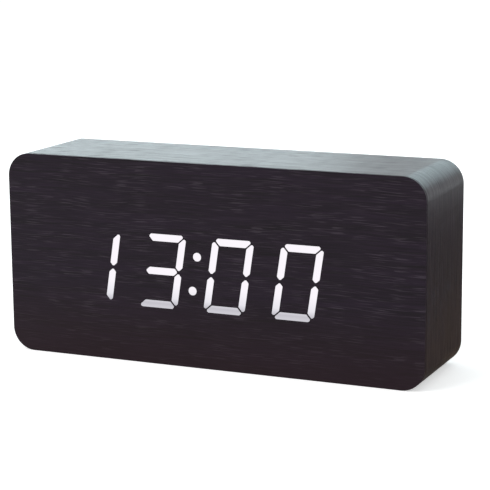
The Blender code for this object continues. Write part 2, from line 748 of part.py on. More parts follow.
def make_rear_cover(plastic):
    """The moulded cover: a plate with the battery bay, the board posts and every hole in it."""
    cover = prism("rear_cover", case_outline(SKIN + RIM_WALL + FIT_GAP), COVER_INNER_Y, COVER_FACE_Y, plastic)
    within_y = COVER_FACE_Y - COVER_THICKNESS / 2
    over_y = COVER_FACE_Y + OVERRUN
    bay_wall = rounded_rectangle(
        BAY_X, MIDDLE_Z, BAY_LENGTH + 2 * BAY_WALL, BAY_HEIGHT + 2 * BAY_WALL, BAY_RADIUS, steps=2
    )
    posts = [circle(x, z, CONTROL_POST_RADIUS, POST_SIDES) for x, z in control_screw_places()]
    tube = circle(MICROPHONE_X, MICROPHONE_Z, SOUND_HOLE_RADIUS + SOUND_TUBE_WALL, POST_SIDES)
    tube_y = CONTROL_PARTS_Y + MICROPHONE_HEIGHT + FIT_GAP
    join(
        cover,
        prism("bay_wall", bay_wall, BAY_OUTER_Y, within_y),
        prisms("posts", posts, COVER_INNER_Y - CONTROL_POST_LENGTH, within_y),
        prism("tube", tube, tube_y, within_y),
    )

    sinks = [circle(x, z, REAR_HEAD_RADIUS + FIT_GAP, HOLE_SIDES) for x, z in rear_screw_places()]
    holes = [circle(x, z, REAR_SHANK_RADIUS + FIT_GAP) for x, z in rear_screw_places()]
    holes += [circle(x, z, BUTTON_RADIUS + FIT_GAP, BUTTON_SIDES) for x, z in button_places()]
    holes.append(circle(JACK_X, JACK_Z, JACK_NOSE_RADIUS + FIT_GAP, JACK_SIDES))
    holes.append(circle(BUZZER_X, BUZZER_Z, GRILLE_HOLE_RADIUS, POST_SIDES))
    for x, z in circle(BUZZER_X, BUZZER_Z, GRILLE_RING_RADIUS, GRILLE_RING_COUNT):
        holes.append(circle(x, z, GRILLE_HOLE_RADIUS, POST_SIDES))
    pilots = [circle(x, z, SMALL_SHANK_RADIUS + FIT_GAP, POST_SIDES) for x, z in control_screw_places()]
    recess = rectangle(BAY_X, MIDDLE_Z, RECESS_LENGTH, RECESS_HEIGHT)
    slot_depth = CONTACT_THICKNESS + 2 * FIT_GAP
    slot_width = TAB_WIDTH + 2 * FIT_GAP
    slots = [rectangle(CONTACT_RIGHT_X, cell_z(i), slot_depth, slot_width) for i in (0, CELL_COUNT - 1)]
    notch_width = THUMB_TAB_WIDTH + 2 * THUMB_NOTCH_SPARE
    notch_reach = THUMB_TAB_REACH + THUMB_NOTCH_SPARE
    notch_round = notch_reach * NOTCH_ROUND_SHARE
    notch = rounded_rectangle(BAY_X, DOOR_TOP_Z, notch_width, 2 * notch_reach, notch_round, steps=4)
    sound = circle(MICROPHONE_X, MICROPHONE_Z, SOUND_HOLE_RADIUS, POST_SIDES)
    socket = circle(DOOR_AXIS.y, DOOR_AXIS.z, DOOR_PIN_RADIUS + FIT_GAP, POST_SIDES)
    socket_reach = DOOR_LENGTH / 2 + DOOR_PIN_LENGTH + FIT_GAP
    cut(
        cover,
        prism("bay", rectangle(BAY_X, MIDDLE_Z, BAY_LENGTH, BAY_HEIGHT), BAY_FLOOR_Y, over_y),
        prism("recess", recess, DOOR_INNER_Y - FIT_GAP, over_y),
        prism("notch", notch, COVER_FACE_Y - THUMB_NOTCH_DEPTH, over_y),
        crosswise_prism("sockets", socket, BAY_X - socket_reach, BAY_X + socket_reach),
        prisms("holes", holes, COVER_INNER_Y - OVERRUN, over_y),
        prisms("sinks", sinks, COVER_FACE_Y - REAR_SINK_DEPTH, over_y),
        prism("sound", sound, tube_y - OVERRUN, over_y),
        prisms("pilots", pilots, CONTROL_FRONT_Y, CONTROL_FRONT_Y + SMALL_SCREW_LENGTH),
        prisms("slots", slots, BAY_OUTER_Y - OVERRUN, BAY_FLOOR_Y + OVERRUN),
    )


def make_battery_door(plastic):
    """The door over the cells. Its low edge is a half-round nose on two pins, and a tab lifts its top."""
    nose = []
    for i in range(DOOR_NOSE_STEPS + 1):
        angle = -math.pi * i / DOOR_NOSE_STEPS
        radius = DOOR_THICKNESS / 2
        nose.append((DOOR_AXIS.y + radius * math.cos(angle), DOOR_AXIS.z + radius * math.sin(angle)))
    outline = nose + [(DOOR_INNER_Y, DOOR_TOP_Z), (COVER_FACE_Y, DOOR_TOP_Z)]
    low_x = BAY_X - DOOR_LENGTH / 2
    high_x = BAY_X + DOOR_LENGTH / 2
    door = crosswise_prism("battery_door", outline, low_x, high_x, plastic)

    pin = circle(DOOR_AXIS.y, DOOR_AXIS.z, DOOR_PIN_RADIUS, POST_SIDES)
    tab_low_z = DOOR_TOP_Z - DOOR_THICKNESS
    tab_height = THUMB_TAB_REACH + DOOR_THICKNESS
    tab = rounded_rectangle(
        BAY_X, tab_low_z + tab_height / 2, THUMB_TAB_WIDTH, tab_height, THUMB_TAB_THICKNESS, steps=3
    )
    ribs = []
    for i in range(GRIP_RIB_COUNT):
        rib_z = tab_low_z - (i + 1) * GRIP_RIB_PITCH
        ribs.append(rectangle(BAY_X, rib_z, GRIP_RIB_LENGTH, GRIP_RIB_WIDTH))
    join(
        door,
        crosswise_prism("pin", pin, low_x - DOOR_PIN_LENGTH, high_x + DOOR_PIN_LENGTH),
        prism("tab", tab, COVER_FACE_Y - THUMB_TAB_THICKNESS, COVER_FACE_Y),
        prisms("ribs", ribs, COVER_FACE_Y - GRIP_RIB_HEIGHT, COVER_FACE_Y + GRIP_RIB_HEIGHT),
    )
    move_origin(door, DOOR_AXIS)


def make_cells(wrapper):
    """Four cells, turned end for end so that their poles alternate."""
    profile = [
        (CELL_RADIUS - CELL_EDGE, 0),
        (CELL_RADIUS, CELL_EDGE),
        (CELL_RADIUS, CELL_BODY_LENGTH - CELL_EDGE),
        (CELL_RADIUS - CELL_EDGE, CELL_BODY_LENGTH),
        (CELL_NUB_RADIUS, CELL_BODY_LENGTH),
        (CELL_NUB_RADIUS, CELL_LENGTH),
    ]
    cell = turned("cell", profile, CELL_SIDES, wrapper)
    mesh = cell.data
    bpy.data.objects.remove(cell)
    for i in range(CELL_COUNT):
        side = 1 if i % 2 == 0 else -1
        plus_x = BAY_X + side * (BAY_LENGTH / 2 - CONTACT_SPACE)
        place = (plus_x - side * CELL_LENGTH, CELL_Y, cell_z(i))
        piece_of(f"battery_{i + 1}", mesh, place=place, turn=(0, 0, -side * math.pi / 2))


def contact_outline(first, last):
    """A contact plate's outline in Y and Z, covering the cells from first to last."""
    top = cell_z(first) + CONTACT_SIDE / 2
    low = cell_z(last) - CONTACT_SIDE / 2
    return rounded_rectangle(CELL_Y, (top + low) / 2, CONTACT_SIDE, top - low, CONTACT_SIDE / 8, steps=2)


def make_contacts(plated):
    """Two end plates whose tabs go through the bay's floor, and three plates that link the cells."""
    half = CONTACT_THICKNESS / 2
    last = CELL_COUNT - 1
    for name, index in (("contact_positive", 0), ("contact_negative", last)):
        low_x = CONTACT_RIGHT_X - half
        high_x = CONTACT_RIGHT_X + half
        plate = crosswise_prism(name, contact_outline(index, index), low_x, high_x, plated)
        tab_length = CELL_Y - BAY_OUTER_Y + TAB_REACH
        tab = rectangle(CELL_Y - tab_length / 2, cell_z(index), tab_length, TAB_WIDTH)
        join(plate, crosswise_prism("tab", tab, low_x, high_x))
    links = ((CONTACT_LEFT_X, 0), (CONTACT_RIGHT_X, 1), (CONTACT_LEFT_X, 2))
    for number, (x, first) in enumerate(links):
        outline = contact_outline(first, first + 1)
        crosswise_prism(f"contact_link_{number + 1}", outline, x - half, x + half, plated)


def tube(name, points, radius, resolution, material=None):
    """A round wire through a row of points, with closed ends."""
    curve = bpy.data.curves.new(name, "CURVE")
    curve.dimensions = "3D"
    curve.bevel_depth = radius
    curve.bevel_resolution = resolution
    curve.use_fill_caps = True
    spline = curve.splines.new("POLY")
    spline.points.add(len(points) - 1)
    for point, place in zip(spline.points, points):
        point.co = (*place, 1)
    return piece_of(name, curve, material)


def spring_points():
    """A conical coil along Y, from its wide foot at zero to its narrow tip."""
    count = SPRING_TURNS * SPRING_TURN_POINTS
    rise = SPRING_LENGTH - 2 * SPRING_WIRE_RADIUS
    points = []
    for i in range(count + 1):
        share = i / count
        angle = 2 * math.pi * i / SPRING_TURN_POINTS
        radius = SPRING_BASE_RADIUS + (SPRING_TIP_RADIUS - SPRING_BASE_RADIUS) * share
        points.append((radius * math.cos(angle), SPRING_WIRE_RADIUS + rise * share, radius * math.sin(angle)))
    return points


def least_gap(points):
    """The narrowest gap between the turns of a coil, measured from point to point."""
    gaps = []
    for i, point in enumerate(points):
        for other in points[i + SPRING_TURN_POINTS // 2 + 1:]:
            gaps.append((Vector(point) - Vector(other)).length - 2 * SPRING_WIRE_RADIUS)
    return min(gaps)


def make_springs(plated):
    """A coil spring at the flat end of each cell."""
    points = spring_points()
    print(f"Least gap between spring turns: {least_gap(points) / MILLIMETRE:.2f} mm")
    for i in range(CELL_COUNT):
        side = 1 if i % 2 == 0 else -1
        foot_x = BAY_X - side * (BAY_LENGTH / 2 - CONTACT_SPACE)
        spring = tube(f"battery_spring_{i + 1}", points, SPRING_WIRE_RADIUS, 1, plated)
        spring.location = (foot_x, CELL_Y, cell_z(i))
        spring.rotation_euler = (0, 0, -side * math.pi / 2)


def make_control_board(laminate):
    """The board behind the buttons, hung from the cover's two posts."""
    outline = rounded_rectangle(CONTROL_X, MIDDLE_Z, CONTROL_WIDTH, CONTROL_HEIGHT, BOARD_RADIUS, steps=2)
    board = prism("control_board", outline, CONTROL_FRONT_Y, CONTROL_BACK_Y, laminate)
    holes = [circle(x, z, SMALL_SHANK_RADIUS + FIT_GAP, POST_SIDES) for x, z in control_screw_places()]
    cut(board, prisms("holes", holes, CONTROL_FRONT_Y - OVERRUN, CONTROL_BACK_Y + OVERRUN))


def make_buttons(cap, black):
    """Three sprung caps behind the cover's holes, each over its own switch."""
    switch = prism(
        "switch",
        rounded_rectangle(0, 0, SWITCH_SIDE, SWITCH_SIDE, SWITCH_BEVEL, steps=1),
        0,
        SWITCH_HEIGHT,
        black,
    )
    collar = circle(0, 0, SWITCH_COLLAR_RADIUS, POST_SIDES)
    join(switch, prism("collar", collar, SWITCH_HEIGHT / 2, SWITCH_HEIGHT + SWITCH_COLLAR_HEIGHT))
    switch_mesh = switch.data
    bpy.data.objects.remove(switch)

    tip_y = CONTROL_PARTS_Y + SWITCH_HEIGHT + SWITCH_COLLAR_HEIGHT + BUTTON_TRAVEL + FIT_GAP - COVER_FACE_Y
    flange_y = COVER_INNER_Y - FIT_GAP - COVER_FACE_Y
    flange = BUTTON_RADIUS + BUTTON_FLANGE
    profile = [
        (BUTTON_STEM_RADIUS, tip_y),
        (BUTTON_STEM_RADIUS, flange_y - BUTTON_FLANGE_THICKNESS),
        (flange, flange_y - BUTTON_FLANGE_THICKNESS),
        (flange, flange_y),
        (BUTTON_RADIUS, flange_y),
        (BUTTON_RADIUS, BUTTON_PROUD - BUTTON_DOME),
        (BUTTON_RADIUS - BUTTON_DOME / 2, BUTTON_PROUD - BUTTON_DOME / 4),
        (BUTTON_RADIUS - 2 * BUTTON_DOME, BUTTON_PROUD),
    ]
    for i, (x, z) in enumerate(button_places()):
        turned(BUTTON_NAMES[i], profile, BUTTON_SIDES, cap, (x, COVER_FACE_Y, z))
        piece_of(f"tact_switch_{i + 1}", switch_mesh, place=(x, CONTROL_PARTS_Y, z))


def make_jack(black, plated):
    """The power inlet: a square block with a round nose in the cover's hole, and a pin in its bore."""
    nose_y = COVER_FACE_Y - JACK_NOSE_STEP
    body = rounded_rectangle(JACK_X, JACK_Z, JACK_SIDE, JACK_SIDE, SWITCH_BEVEL, steps=1)
    jack = prism("dc_jack", body, CONTROL_PARTS_Y, COVER_INNER_Y - FIT_GAP, black)
    nose = circle(JACK_X, JACK_Z, JACK_NOSE_RADIUS, JACK_SIDES)
    bore = circle(JACK_X, JACK_Z, JACK_BORE_RADIUS, JACK_SIDES)
    join(jack, prism("nose", nose, CONTROL_PARTS_Y + JACK_SIDE / 2, nose_y))
    cut(jack, prism("bore", bore, nose_y - JACK_BORE_DEPTH, nose_y + OVERRUN))
    length = JACK_BORE_DEPTH - FIT_GAP - JACK_PIN_RADIUS
    profile = [
        (JACK_PIN_RADIUS, 0),
        (JACK_PIN_RADIUS, length - JACK_PIN_RADIUS),
        (JACK_PIN_RADIUS / 2, length),
    ]
    turned("dc_pin", profile, POST_SIDES, plated, (JACK_X, nose_y - JACK_BORE_DEPTH + FIT_GAP, JACK_Z))


def make_buzzer(black):
    """The buzzer behind the cover's ring of holes."""
    edge = BUZZER_PORT_RADIUS / 2
    profile = [
        (BUZZER_RADIUS, 0),
        (BUZZER_RADIUS, BUZZER_HEIGHT - edge),
        (BUZZER_RADIUS - edge, BUZZER_HEIGHT),
    ]
    buzzer = turned("buzzer", profile, BUTTON_SIDES, black, (BUZZER_X, CONTROL_PARTS_Y, BUZZER_Z))
    top_y = CONTROL_PARTS_Y + BUZZER_HEIGHT
    port = circle(BUZZER_X, BUZZER_Z, BUZZER_PORT_RADIUS, POST_SIDES)
    cut(buzzer, prism("port", port, top_y - 2 * BUZZER_PORT_RADIUS, top_y + OVERRUN))
    smooth(buzzer)


def make_microphone(steel):
    """The round microphone can under the cover's sound tube."""
    edge = SOUND_HOLE_RADIUS / 2
    profile = [
        (MICROPHONE_RADIUS, 0),
        (MICROPHONE_RADIUS, MICROPHONE_HEIGHT - edge),
        (MICROPHONE_RADIUS - edge, MICROPHONE_HEIGHT),
    ]
    turned("microphone", profile, BUTTON_SIDES, steel, (MICROPHONE_X, CONTROL_PARTS_Y, MICROPHONE_Z))


def smooth_path(start, end, push, count):
    """Points on a curve that leaves start along -Y and reaches end along -Y."""
    first = Vector(start)
    last = Vector(end)
    handles = (first, first + Vector((0, -push, 0)), last + Vector((0, push, 0)), last)
    points = []
    for i in range(count):
        t = i / (count - 1)
        weights = ((1 - t) ** 3, 3 * t * (1 - t) ** 2, 3 * t**2 * (1 - t), t**3)
        points.append(sum((h * w for h, w in zip(handles, weights)), Vector()))
    return points


def make_leads(red, black):
    """The two leads from the cells' end contacts to the display board."""
    start_y = BAY_OUTER_Y - TAB_REACH - FIT_GAP
    end_y = BOARD_BACK_Y + FIT_GAP
    pad = LEAD_PAD_PITCH / 2
    leads = (("battery_lead_red", 0, pad, red), ("battery_lead_black", CELL_COUNT - 1, -pad, black))
    for name, index, rise, colour in leads:
        start = (CONTACT_RIGHT_X, start_y, cell_z(index))
        end = (CONTACT_RIGHT_X + LEAD_SWING, end_y, DISPLAY_Z + rise)
        tube(name, smooth_path(start, end, (start_y - end_y) / 2, LEAD_POINTS), LEAD_RADIUS, 2, colour)


def make_ribbon(grey):
    """The flat ribbon that joins the two boards: a strip with a lazy bend."""
    start_y = CONTROL_FRONT_Y - FIT_GAP
    end_y = BOARD_BACK_Y + FIT_GAP
    half = RIBBON_THICKNESS / 2
    start = (0, start_y, MIDDLE_Z + RIBBON_RISE)
    end = (0, end_y, MIDDLE_Z - RIBBON_DROP)
    middle = smooth_path(start, end, RIBBON_SWING, RIBBON_STEPS + 1)
    above = []
    below = []
    for i, point in enumerate(middle):
        ahead = middle[min(i + 1, RIBBON_STEPS)]
        behind = middle[max(i - 1, 0)]
        along = (ahead - behind).normalized()
        if i in (0, RIBBON_STEPS):
            along = Vector((0, -1, 0))
        across = Vector((0, -along.z, along.y)) * half
        above.append((point.y + across.y, point.z + across.z))
        below.append((point.y - across.y, point.z - across.z))
    outline = above + below[::-1]
    low_x = RIBBON_X - RIBBON_WIDTH / 2
    crosswise_prism("board_ribbon", outline, low_x, low_x + RIBBON_WIDTH, grey)


def build():
    """Make every piece, from the case inwards."""
    clear_scene()
    board = surface("fibreboard", (0.20, 0.13, 0.08), 0.9)
    veneer = surface("black_veneer", (0.022, 0.018, 0.020), 0.55)
    plastic = surface("black_plastic", (0.015, 0.015, 0.016), 0.45)
    lit = surface("milky_guide", (0.92, 0.91, 0.94), 0.35)
    laminate = surface("circuit_board", (0.02, 0.12, 0.05), 0.5)
    steel = surface("plated_steel", (0.60, 0.60, 0.62), 0.35, 1.0)
    wrapper = surface("cell_wrapper", (0.10, 0.11, 0.12), 0.4)
    cap = surface("grey_cap", (0.10, 0.10, 0.11), 0.5)
    red = surface("red_lead", (0.45, 0.02, 0.02), 0.5)
    grey = surface("grey_ribbon", (0.35, 0.35, 0.36), 0.6)

    make_case_core(board)
    make_case_skin(veneer)
    make_front_panel(board)
    make_display_housing(plastic)
    make_light_guides(lit)
    make_display_board(laminate, plastic, steel)
    make_rear_cover(plastic)
    make_screws(steel)
    make_battery_door(plastic)
    make_cells(wrapper)
    make_contacts(steel)
    make_springs(steel)
    make_control_board(laminate)
    make_buttons(cap, plastic)
    make_jack(plastic, steel)
    make_buzzer(plastic)
    make_microphone(steel)
    make_leads(red, plastic)
    make_ribbon(grey)


build()
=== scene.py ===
# %% [markdown]
# # Dressing a veneered block clock
#
# The clock is a block of board wrapped in thin black-stained wood, and its white figures shine
# through the front. The solids of every piece are already made and stand in their places, in
# metres. This lesson gives them their finishes, rebuilds the few pieces whose real edges are
# softer than plain solids, and sets up the lamps and camera for a photograph. Loading comes
# first, because every later size is read from those solids and not typed again.

# %% Load the solids
import math

import bmesh
import bpy
from mathutils import Matrix, Vector


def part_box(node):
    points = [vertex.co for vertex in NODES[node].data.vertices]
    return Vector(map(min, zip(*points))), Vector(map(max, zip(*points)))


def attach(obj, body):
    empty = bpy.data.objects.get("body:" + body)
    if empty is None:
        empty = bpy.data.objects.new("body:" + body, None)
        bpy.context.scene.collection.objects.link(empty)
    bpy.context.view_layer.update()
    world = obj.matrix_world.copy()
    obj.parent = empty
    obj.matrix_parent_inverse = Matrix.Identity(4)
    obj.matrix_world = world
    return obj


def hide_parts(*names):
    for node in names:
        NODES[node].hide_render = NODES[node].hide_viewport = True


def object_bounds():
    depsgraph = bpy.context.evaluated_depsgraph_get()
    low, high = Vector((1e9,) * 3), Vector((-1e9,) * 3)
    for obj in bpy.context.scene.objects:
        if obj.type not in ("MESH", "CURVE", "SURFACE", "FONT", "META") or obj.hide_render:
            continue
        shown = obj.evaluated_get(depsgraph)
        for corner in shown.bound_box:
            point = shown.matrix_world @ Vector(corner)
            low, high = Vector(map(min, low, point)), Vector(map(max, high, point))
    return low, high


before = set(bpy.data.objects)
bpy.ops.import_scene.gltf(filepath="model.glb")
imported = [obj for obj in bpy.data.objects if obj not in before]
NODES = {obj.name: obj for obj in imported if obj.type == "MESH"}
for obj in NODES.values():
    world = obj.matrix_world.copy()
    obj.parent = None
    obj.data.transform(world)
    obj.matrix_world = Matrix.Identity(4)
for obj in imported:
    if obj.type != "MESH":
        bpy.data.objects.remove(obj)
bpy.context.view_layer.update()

MM = 0.001
low_corner, high_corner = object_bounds()
print("Loaded", len(NODES), "solids,", [round(v / MM, 1) for v in high_corner - low_corner], "mm")

# %% [markdown]
# ## Colours and nodes
#
# Colours are given as hex values, which screens show on a bent scale, while the
# renderer counts light on a straight one. One function turns the first into the second, so a
# colour can be written down just as it was seen. A second small function adds a node to a
# material, with its settings and with each input either a value or another node's output. It
# keeps every material below readable from top to bottom.

# %% Helpers for colours and nodes
def linear(hex_colour):
    """The linear colour of an sRGB hex value such as "#2a2227"."""
    channels = [int(hex_colour[i:i + 2], 16) / 255 for i in (1, 3, 5)]
    straight = [c / 12.92 if c <= 0.04045 else ((c + 0.055) / 1.055) ** 2.4 for c in channels]
    return (*straight, 1.0)


def add_node(tree, kind, inputs=None, **settings):
    """One node. Its settings go by name; each input, by name or number, is a value or another node's output."""
    node = tree.nodes.new(kind)
    for name, value in settings.items():
        setattr(node, name, value)
    for socket, value in (inputs or {}).items():
        if isinstance(value, bpy.types.NodeSocket):
            tree.links.new(value, node.inputs[socket])
        else:
            node.inputs[socket].default_value = value
    return node


def start_material(name, colour, roughness, **sockets):
    """A material whose shader has its own sockets set. Gives the material, its tree and the shader."""
    material = bpy.data.materials.new(name)
    material.use_nodes = True
    shader = material.node_tree.nodes["Principled BSDF"]
    shader.inputs["Base Color"].default_value = linear(colour)
    shader.inputs["Roughness"].default_value = roughness
    for socket, value in sockets.items():
        shader.inputs[socket.replace("_", " ")].default_value = value
    return material, material.node_tree, shader


# A Mix node set to RGBA takes its two colours at these sockets, and gives the result at this one.
COLOUR_A, COLOUR_B, MIXED = 6, 7, 2
print("Black stain in linear light:", [round(c, 4) for c in linear("#1c1518")[:3]])

# %% [markdown]
# ## The veneer's finish
#
# The skin is a sliced veneer about half a millimetre thick, stained black and sealed with a
# thin satin lacquer. Four things meet the eye: soft bands of figure, darker streaks a
# millimetre wide, fine fibre lines, and short pale flecks where the lacquer stands over open
# pores. Each is a noise pattern that is stretched along the grain and squeezed across it, from
# its real size. The grain follows a UV map in metres, U along the fibres and V across them,
# because on this case the fibres run round the band and over its corners, which no straight
# projection could follow. The thin lacquer reflects little head on and much at a glancing
# view, so its index is set low, and a touch of sheen stands for the raised fibres. The streaks
# also make the shine uneven, which is what shows on the pale top.

# %% Make the veneer material
# Each pattern's length, width and number of finer octaves. Real pores are about 0.1 mm wide and
# fibres finer still. Both are drawn three times as wide, so that they show at this distance.
GRAINS = {
    "figure": (60 * MM, 5 * MM, 2.0),
    "streak": (30 * MM, 1.1 * MM, 2.0),
    "fibre": (16 * MM, 0.32 * MM, 1.0),
    "pore": (7 * MM, 0.3 * MM, 0.0),
    "patch": (18 * MM, 4 * MM, 1.0),
}
WANDER_SIZE = 30 * MM
WANDER = 1.6 * MM
FOOT_HEIGHT = 26 * MM
FIBRE_RELIEF = 0.025 * MM
STREAK_SHARE = 2.0
PORE_DULLNESS = 1.2


def make_veneer():
    """Black-stained sliced veneer under satin lacquer: charcoal with a plum tint and thin pale flecks."""
    material, tree, shader = start_material(
        "veneer_stained_satin", "#1a131b", 0.34, IOR=1.24, Sheen_Weight=0.11, Sheen_Roughness=0.4
    )
    shader.inputs["Sheen Tint"].default_value = linear("#bccbd4")
    uv = add_node(tree, "ShaderNodeUVMap", uv_map="grain")
    # Fibres wander a little from side to side, so the pattern is pushed across the grain by slow waves.
    slow = add_node(tree, "ShaderNodeTexNoise", {"Vector": uv.outputs["UV"], "Scale": 1 / WANDER_SIZE, "Detail": 0.0})
    push = add_node(tree, "ShaderNodeCombineXYZ", {"Y": slow.outputs["Fac"]})
    along = add_node(
        tree,
        "ShaderNodeVectorMath",
        {0: push.outputs["Vector"], 1: (0.0, WANDER, 0.0), 2: uv.outputs["UV"]},
        operation="MULTIPLY_ADD",
    )
    grain = {}
    for name, (length, width, detail) in GRAINS.items():
        stretch = (1 / length, 1 / width, 1.0)
        mapped = add_node(tree, "ShaderNodeMapping", {"Vector": along.outputs["Vector"], "Scale": stretch})
        noise = add_node(
            tree, "ShaderNodeTexNoise", {"Vector": mapped.outputs["Vector"], "Scale": 1.0, "Detail": detail}
        )
        grain[name] = noise.outputs["Fac"]

    # Where each pattern starts to show, where it is full, and how strong it is then.
    spans = {
        "bands": (grain["figure"], 0.35, 0.65, 1.0),
        "streaks": (grain["streak"], 0.50, 0.64, 0.6),
        "lines": (grain["fibre"], 0.42, 0.66, 0.45),
        "flecks": (grain["pore"], 0.60, 0.67, 0.15),
        "patches": (grain["patch"], 0.36, 0.58, 1.0),
    }
    share = {}
    for name, (source, start, end, most) in spans.items():
        limits = {"Value": source, "From Min": start, "From Max": end, "To Min": 0.0, "To Max": most}
        share[name] = add_node(tree, "ShaderNodeMapRange", limits).outputs["Result"]
    pale = add_node(tree, "ShaderNodeMath", {0: share["flecks"], 1: share["patches"]}, operation="MULTIPLY")

    # Painted warm reflected light from the ground: the colour turns a little redder towards the foot.
    place = add_node(tree, "ShaderNodeSeparateXYZ", {0: add_node(tree, "ShaderNodeTexCoord").outputs["Object"]})
    foot = add_node(
        tree,
        "ShaderNodeMapRange",
        {"Value": place.outputs["Z"], "From Min": FOOT_HEIGHT, "From Max": 0.0, "To Min": 0.0, "To Max": 0.7},
    )
    layers = (
        (share["bands"], "#160a19"),
        (share["streaks"], "#080306"),
        (share["lines"], "#251827"),
        (pale.outputs[0], "#6e656e"),
    )
    colour = linear("#0e040f")
    for factor, top in layers:
        mixed = add_node(
            tree, "ShaderNodeMix", {0: factor, COLOUR_A: colour, COLOUR_B: linear(top)}, data_type="RGBA"
        )
        colour = mixed.outputs[MIXED]
    mixed = add_node(
        tree,
        "ShaderNodeMix",
        {0: foot.outputs["Result"], COLOUR_A: colour, COLOUR_B: linear("#1e0c12")},
        data_type="RGBA",
    )
    tree.links.new(mixed.outputs[MIXED], shader.inputs["Base Color"])

    worn = add_node(
        tree,
        "ShaderNodeMapRange",
        {"Value": grain["streak"], "From Min": 0.35, "From Max": 0.65, "To Min": 0.31, "To Max": 0.38},
    )
    dull = add_node(
        tree, "ShaderNodeMath", {0: share["flecks"], 1: PORE_DULLNESS, 2: worn.outputs["Result"]}, operation="MULTIPLY_ADD"
    )
    tree.links.new(dull.outputs[0], shader.inputs["Roughness"])
    # Fibres and streaks stand a little proud, and open pores lie a little low.
    ridges = add_node(
        tree, "ShaderNodeMath", {0: grain["streak"], 1: STREAK_SHARE, 2: grain["fibre"]}, operation="MULTIPLY_ADD"
    )
    height = add_node(tree, "ShaderNodeMath", {0: ridges.outputs[0], 1: share["flecks"]}, operation="SUBTRACT")
    bump = add_node(tree, "ShaderNodeBump", {"Height": height.outputs[0], "Distance": FIBRE_RELIEF, "Strength": 1.0})
    tree.links.new(bump.outputs["Normal"], shader.inputs["Normal"])
    return material


VENEER = make_veneer()
print("Veneer patterns, mm:", {k: (round(v[0] / MM, 1), round(v[1] / MM, 1)) for k, v in GRAINS.items()})

# %% [markdown]
# ## The band of veneer
#
# On the real case one strip of veneer runs right round the top, the ends and the underside,
# and the cut edge is lightly sanded. A strip like this could be a thickened plane or a
# hollowed box. A loft is simpler: one outline with smooth round corners is repeated at a few
# depths, slightly drawn in at both ends for the sanded edge, and the rings are joined. The
# outline starts in the middle of the underside, so the join in the grain is out of sight.

# %% Build the band
CORNER_RADIUS = 8 * MM
CORNER_STEPS = 20
SANDED_EDGE = 0.2 * MM
EDGE_STEPS = 3


def case_outline(inset):
    """The case seen from the front, as X and Z, from the middle of its underside and round it."""
    low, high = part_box("case_wrap")
    left, right, foot, top = low.x + inset, high.x - inset, low.z + inset, high.z - inset
    radius = CORNER_RADIUS - inset
    corners = ((right, foot, -1, 1), (right, top, -1, -1), (left, top, 1, -1), (left, foot, 1, 1))
    points = [((left + right) / 2, foot)]
    for quarter, (x, z, side, rise) in enumerate(corners):
        for i in range(CORNER_STEPS + 1):
            angle = math.pi / 2 * (quarter - 1 + i / CORNER_STEPS)
            middle_x, middle_z = x + side * radius, z + rise * radius
            points.append((middle_x + radius * math.cos(angle), middle_z + radius * math.sin(angle)))
    return points


def quarter_turn(radius, steps):
    """Insets and depths of a rounded edge, from its inner end to the full outline."""
    turns = [math.pi / 2 * i / steps for i in range(steps + 1)]
    return [(radius * (1 - math.sin(t)), radius * (1 - math.cos(t))) for t in turns]


def show(name, mesh, materials, body, replaced):
    """Put a mesh in the scene as a piece that rides on a body and stands for a solid."""
    piece = bpy.data.objects.new(name, mesh)
    bpy.context.scene.collection.objects.link(piece)
    for material in materials:
        mesh.materials.append(material)
    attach(piece, body)
    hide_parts(replaced)
    return piece


def finish_mesh(bm, name, angle=35):
    """Turn faces outwards, shade round sides smooth and keep corners over the angle sharp."""
    bmesh.ops.recalc_face_normals(bm, faces=bm.faces)
    mesh = bpy.data.meshes.new(name)
    bm.to_mesh(mesh)
    bm.free()
    mesh.shade_smooth()
    mesh.set_sharp_from_angle(angle=math.radians(angle))
    return mesh


def build_band():
    """The band as rings of one outline at several depths, with its grain running round it."""
    low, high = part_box("case_wrap")
    thickness = 0.6 * MM
    # One more ring just past each rounded edge keeps the flat sides shaded flat.
    edge = quarter_turn(SANDED_EDGE, EDGE_STEPS) + [(0.0, 2 * SANDED_EDGE)]
    sections = [(inset, low.y + depth) for inset, depth in edge]
    sections += [(inset, high.y - depth) for inset, depth in reversed(edge)]
    sections += [(thickness, high.y), (thickness, low.y)]
    bm = bmesh.new()
    grain = bm.loops.layers.uv.new("grain")
    rings = [[bm.verts.new((x, y, z)) for x, z in case_outline(inset)] for inset, y in sections]
    outline = [Vector(point) for point in case_outline(0)]
    lengths = [0.0]
    for here, ahead in zip(outline, outline[1:] + outline[:1]):
        lengths.append(lengths[-1] + (ahead - here).length)
    for k, ring in enumerate(rings):
        after = rings[(k + 1) % len(rings)]
        for i in range(len(ring)):
            j = (i + 1) % len(ring)
            face = bm.faces.new((ring[i], ring[j], after[j], after[i]))
            for loop, turn in zip(face.loops, (i, i + 1, i + 1, i)):
                loop[grain].uv = (lengths[turn], loop.vert.co.y)
    return finish_mesh(bm, "veneer_band"), lengths[-1]


band_mesh, band_length = build_band()
show("veneer_band", band_mesh, [VENEER], "case", "case_wrap")
print("Band of veneer:", round(band_length / MM, 1), "mm round,", len(band_mesh.polygons), "faces")

# %% [markdown]
# ## The front sheet
#
# The front is a separate sheet of the same veneer, glued on last, with its grain level. It has
# a sharp window for each lit bar, and its outer edge is sanded like the band's. Cutting two
# dozen windows with Booleans works, but a flat curve does it in one step: every closed line in
# a 2D curve becomes either the rim or a hole, and the curve's own extrusion and bevel give the
# thickness and the eased edge. The windows' lines are read from the solid sheet.

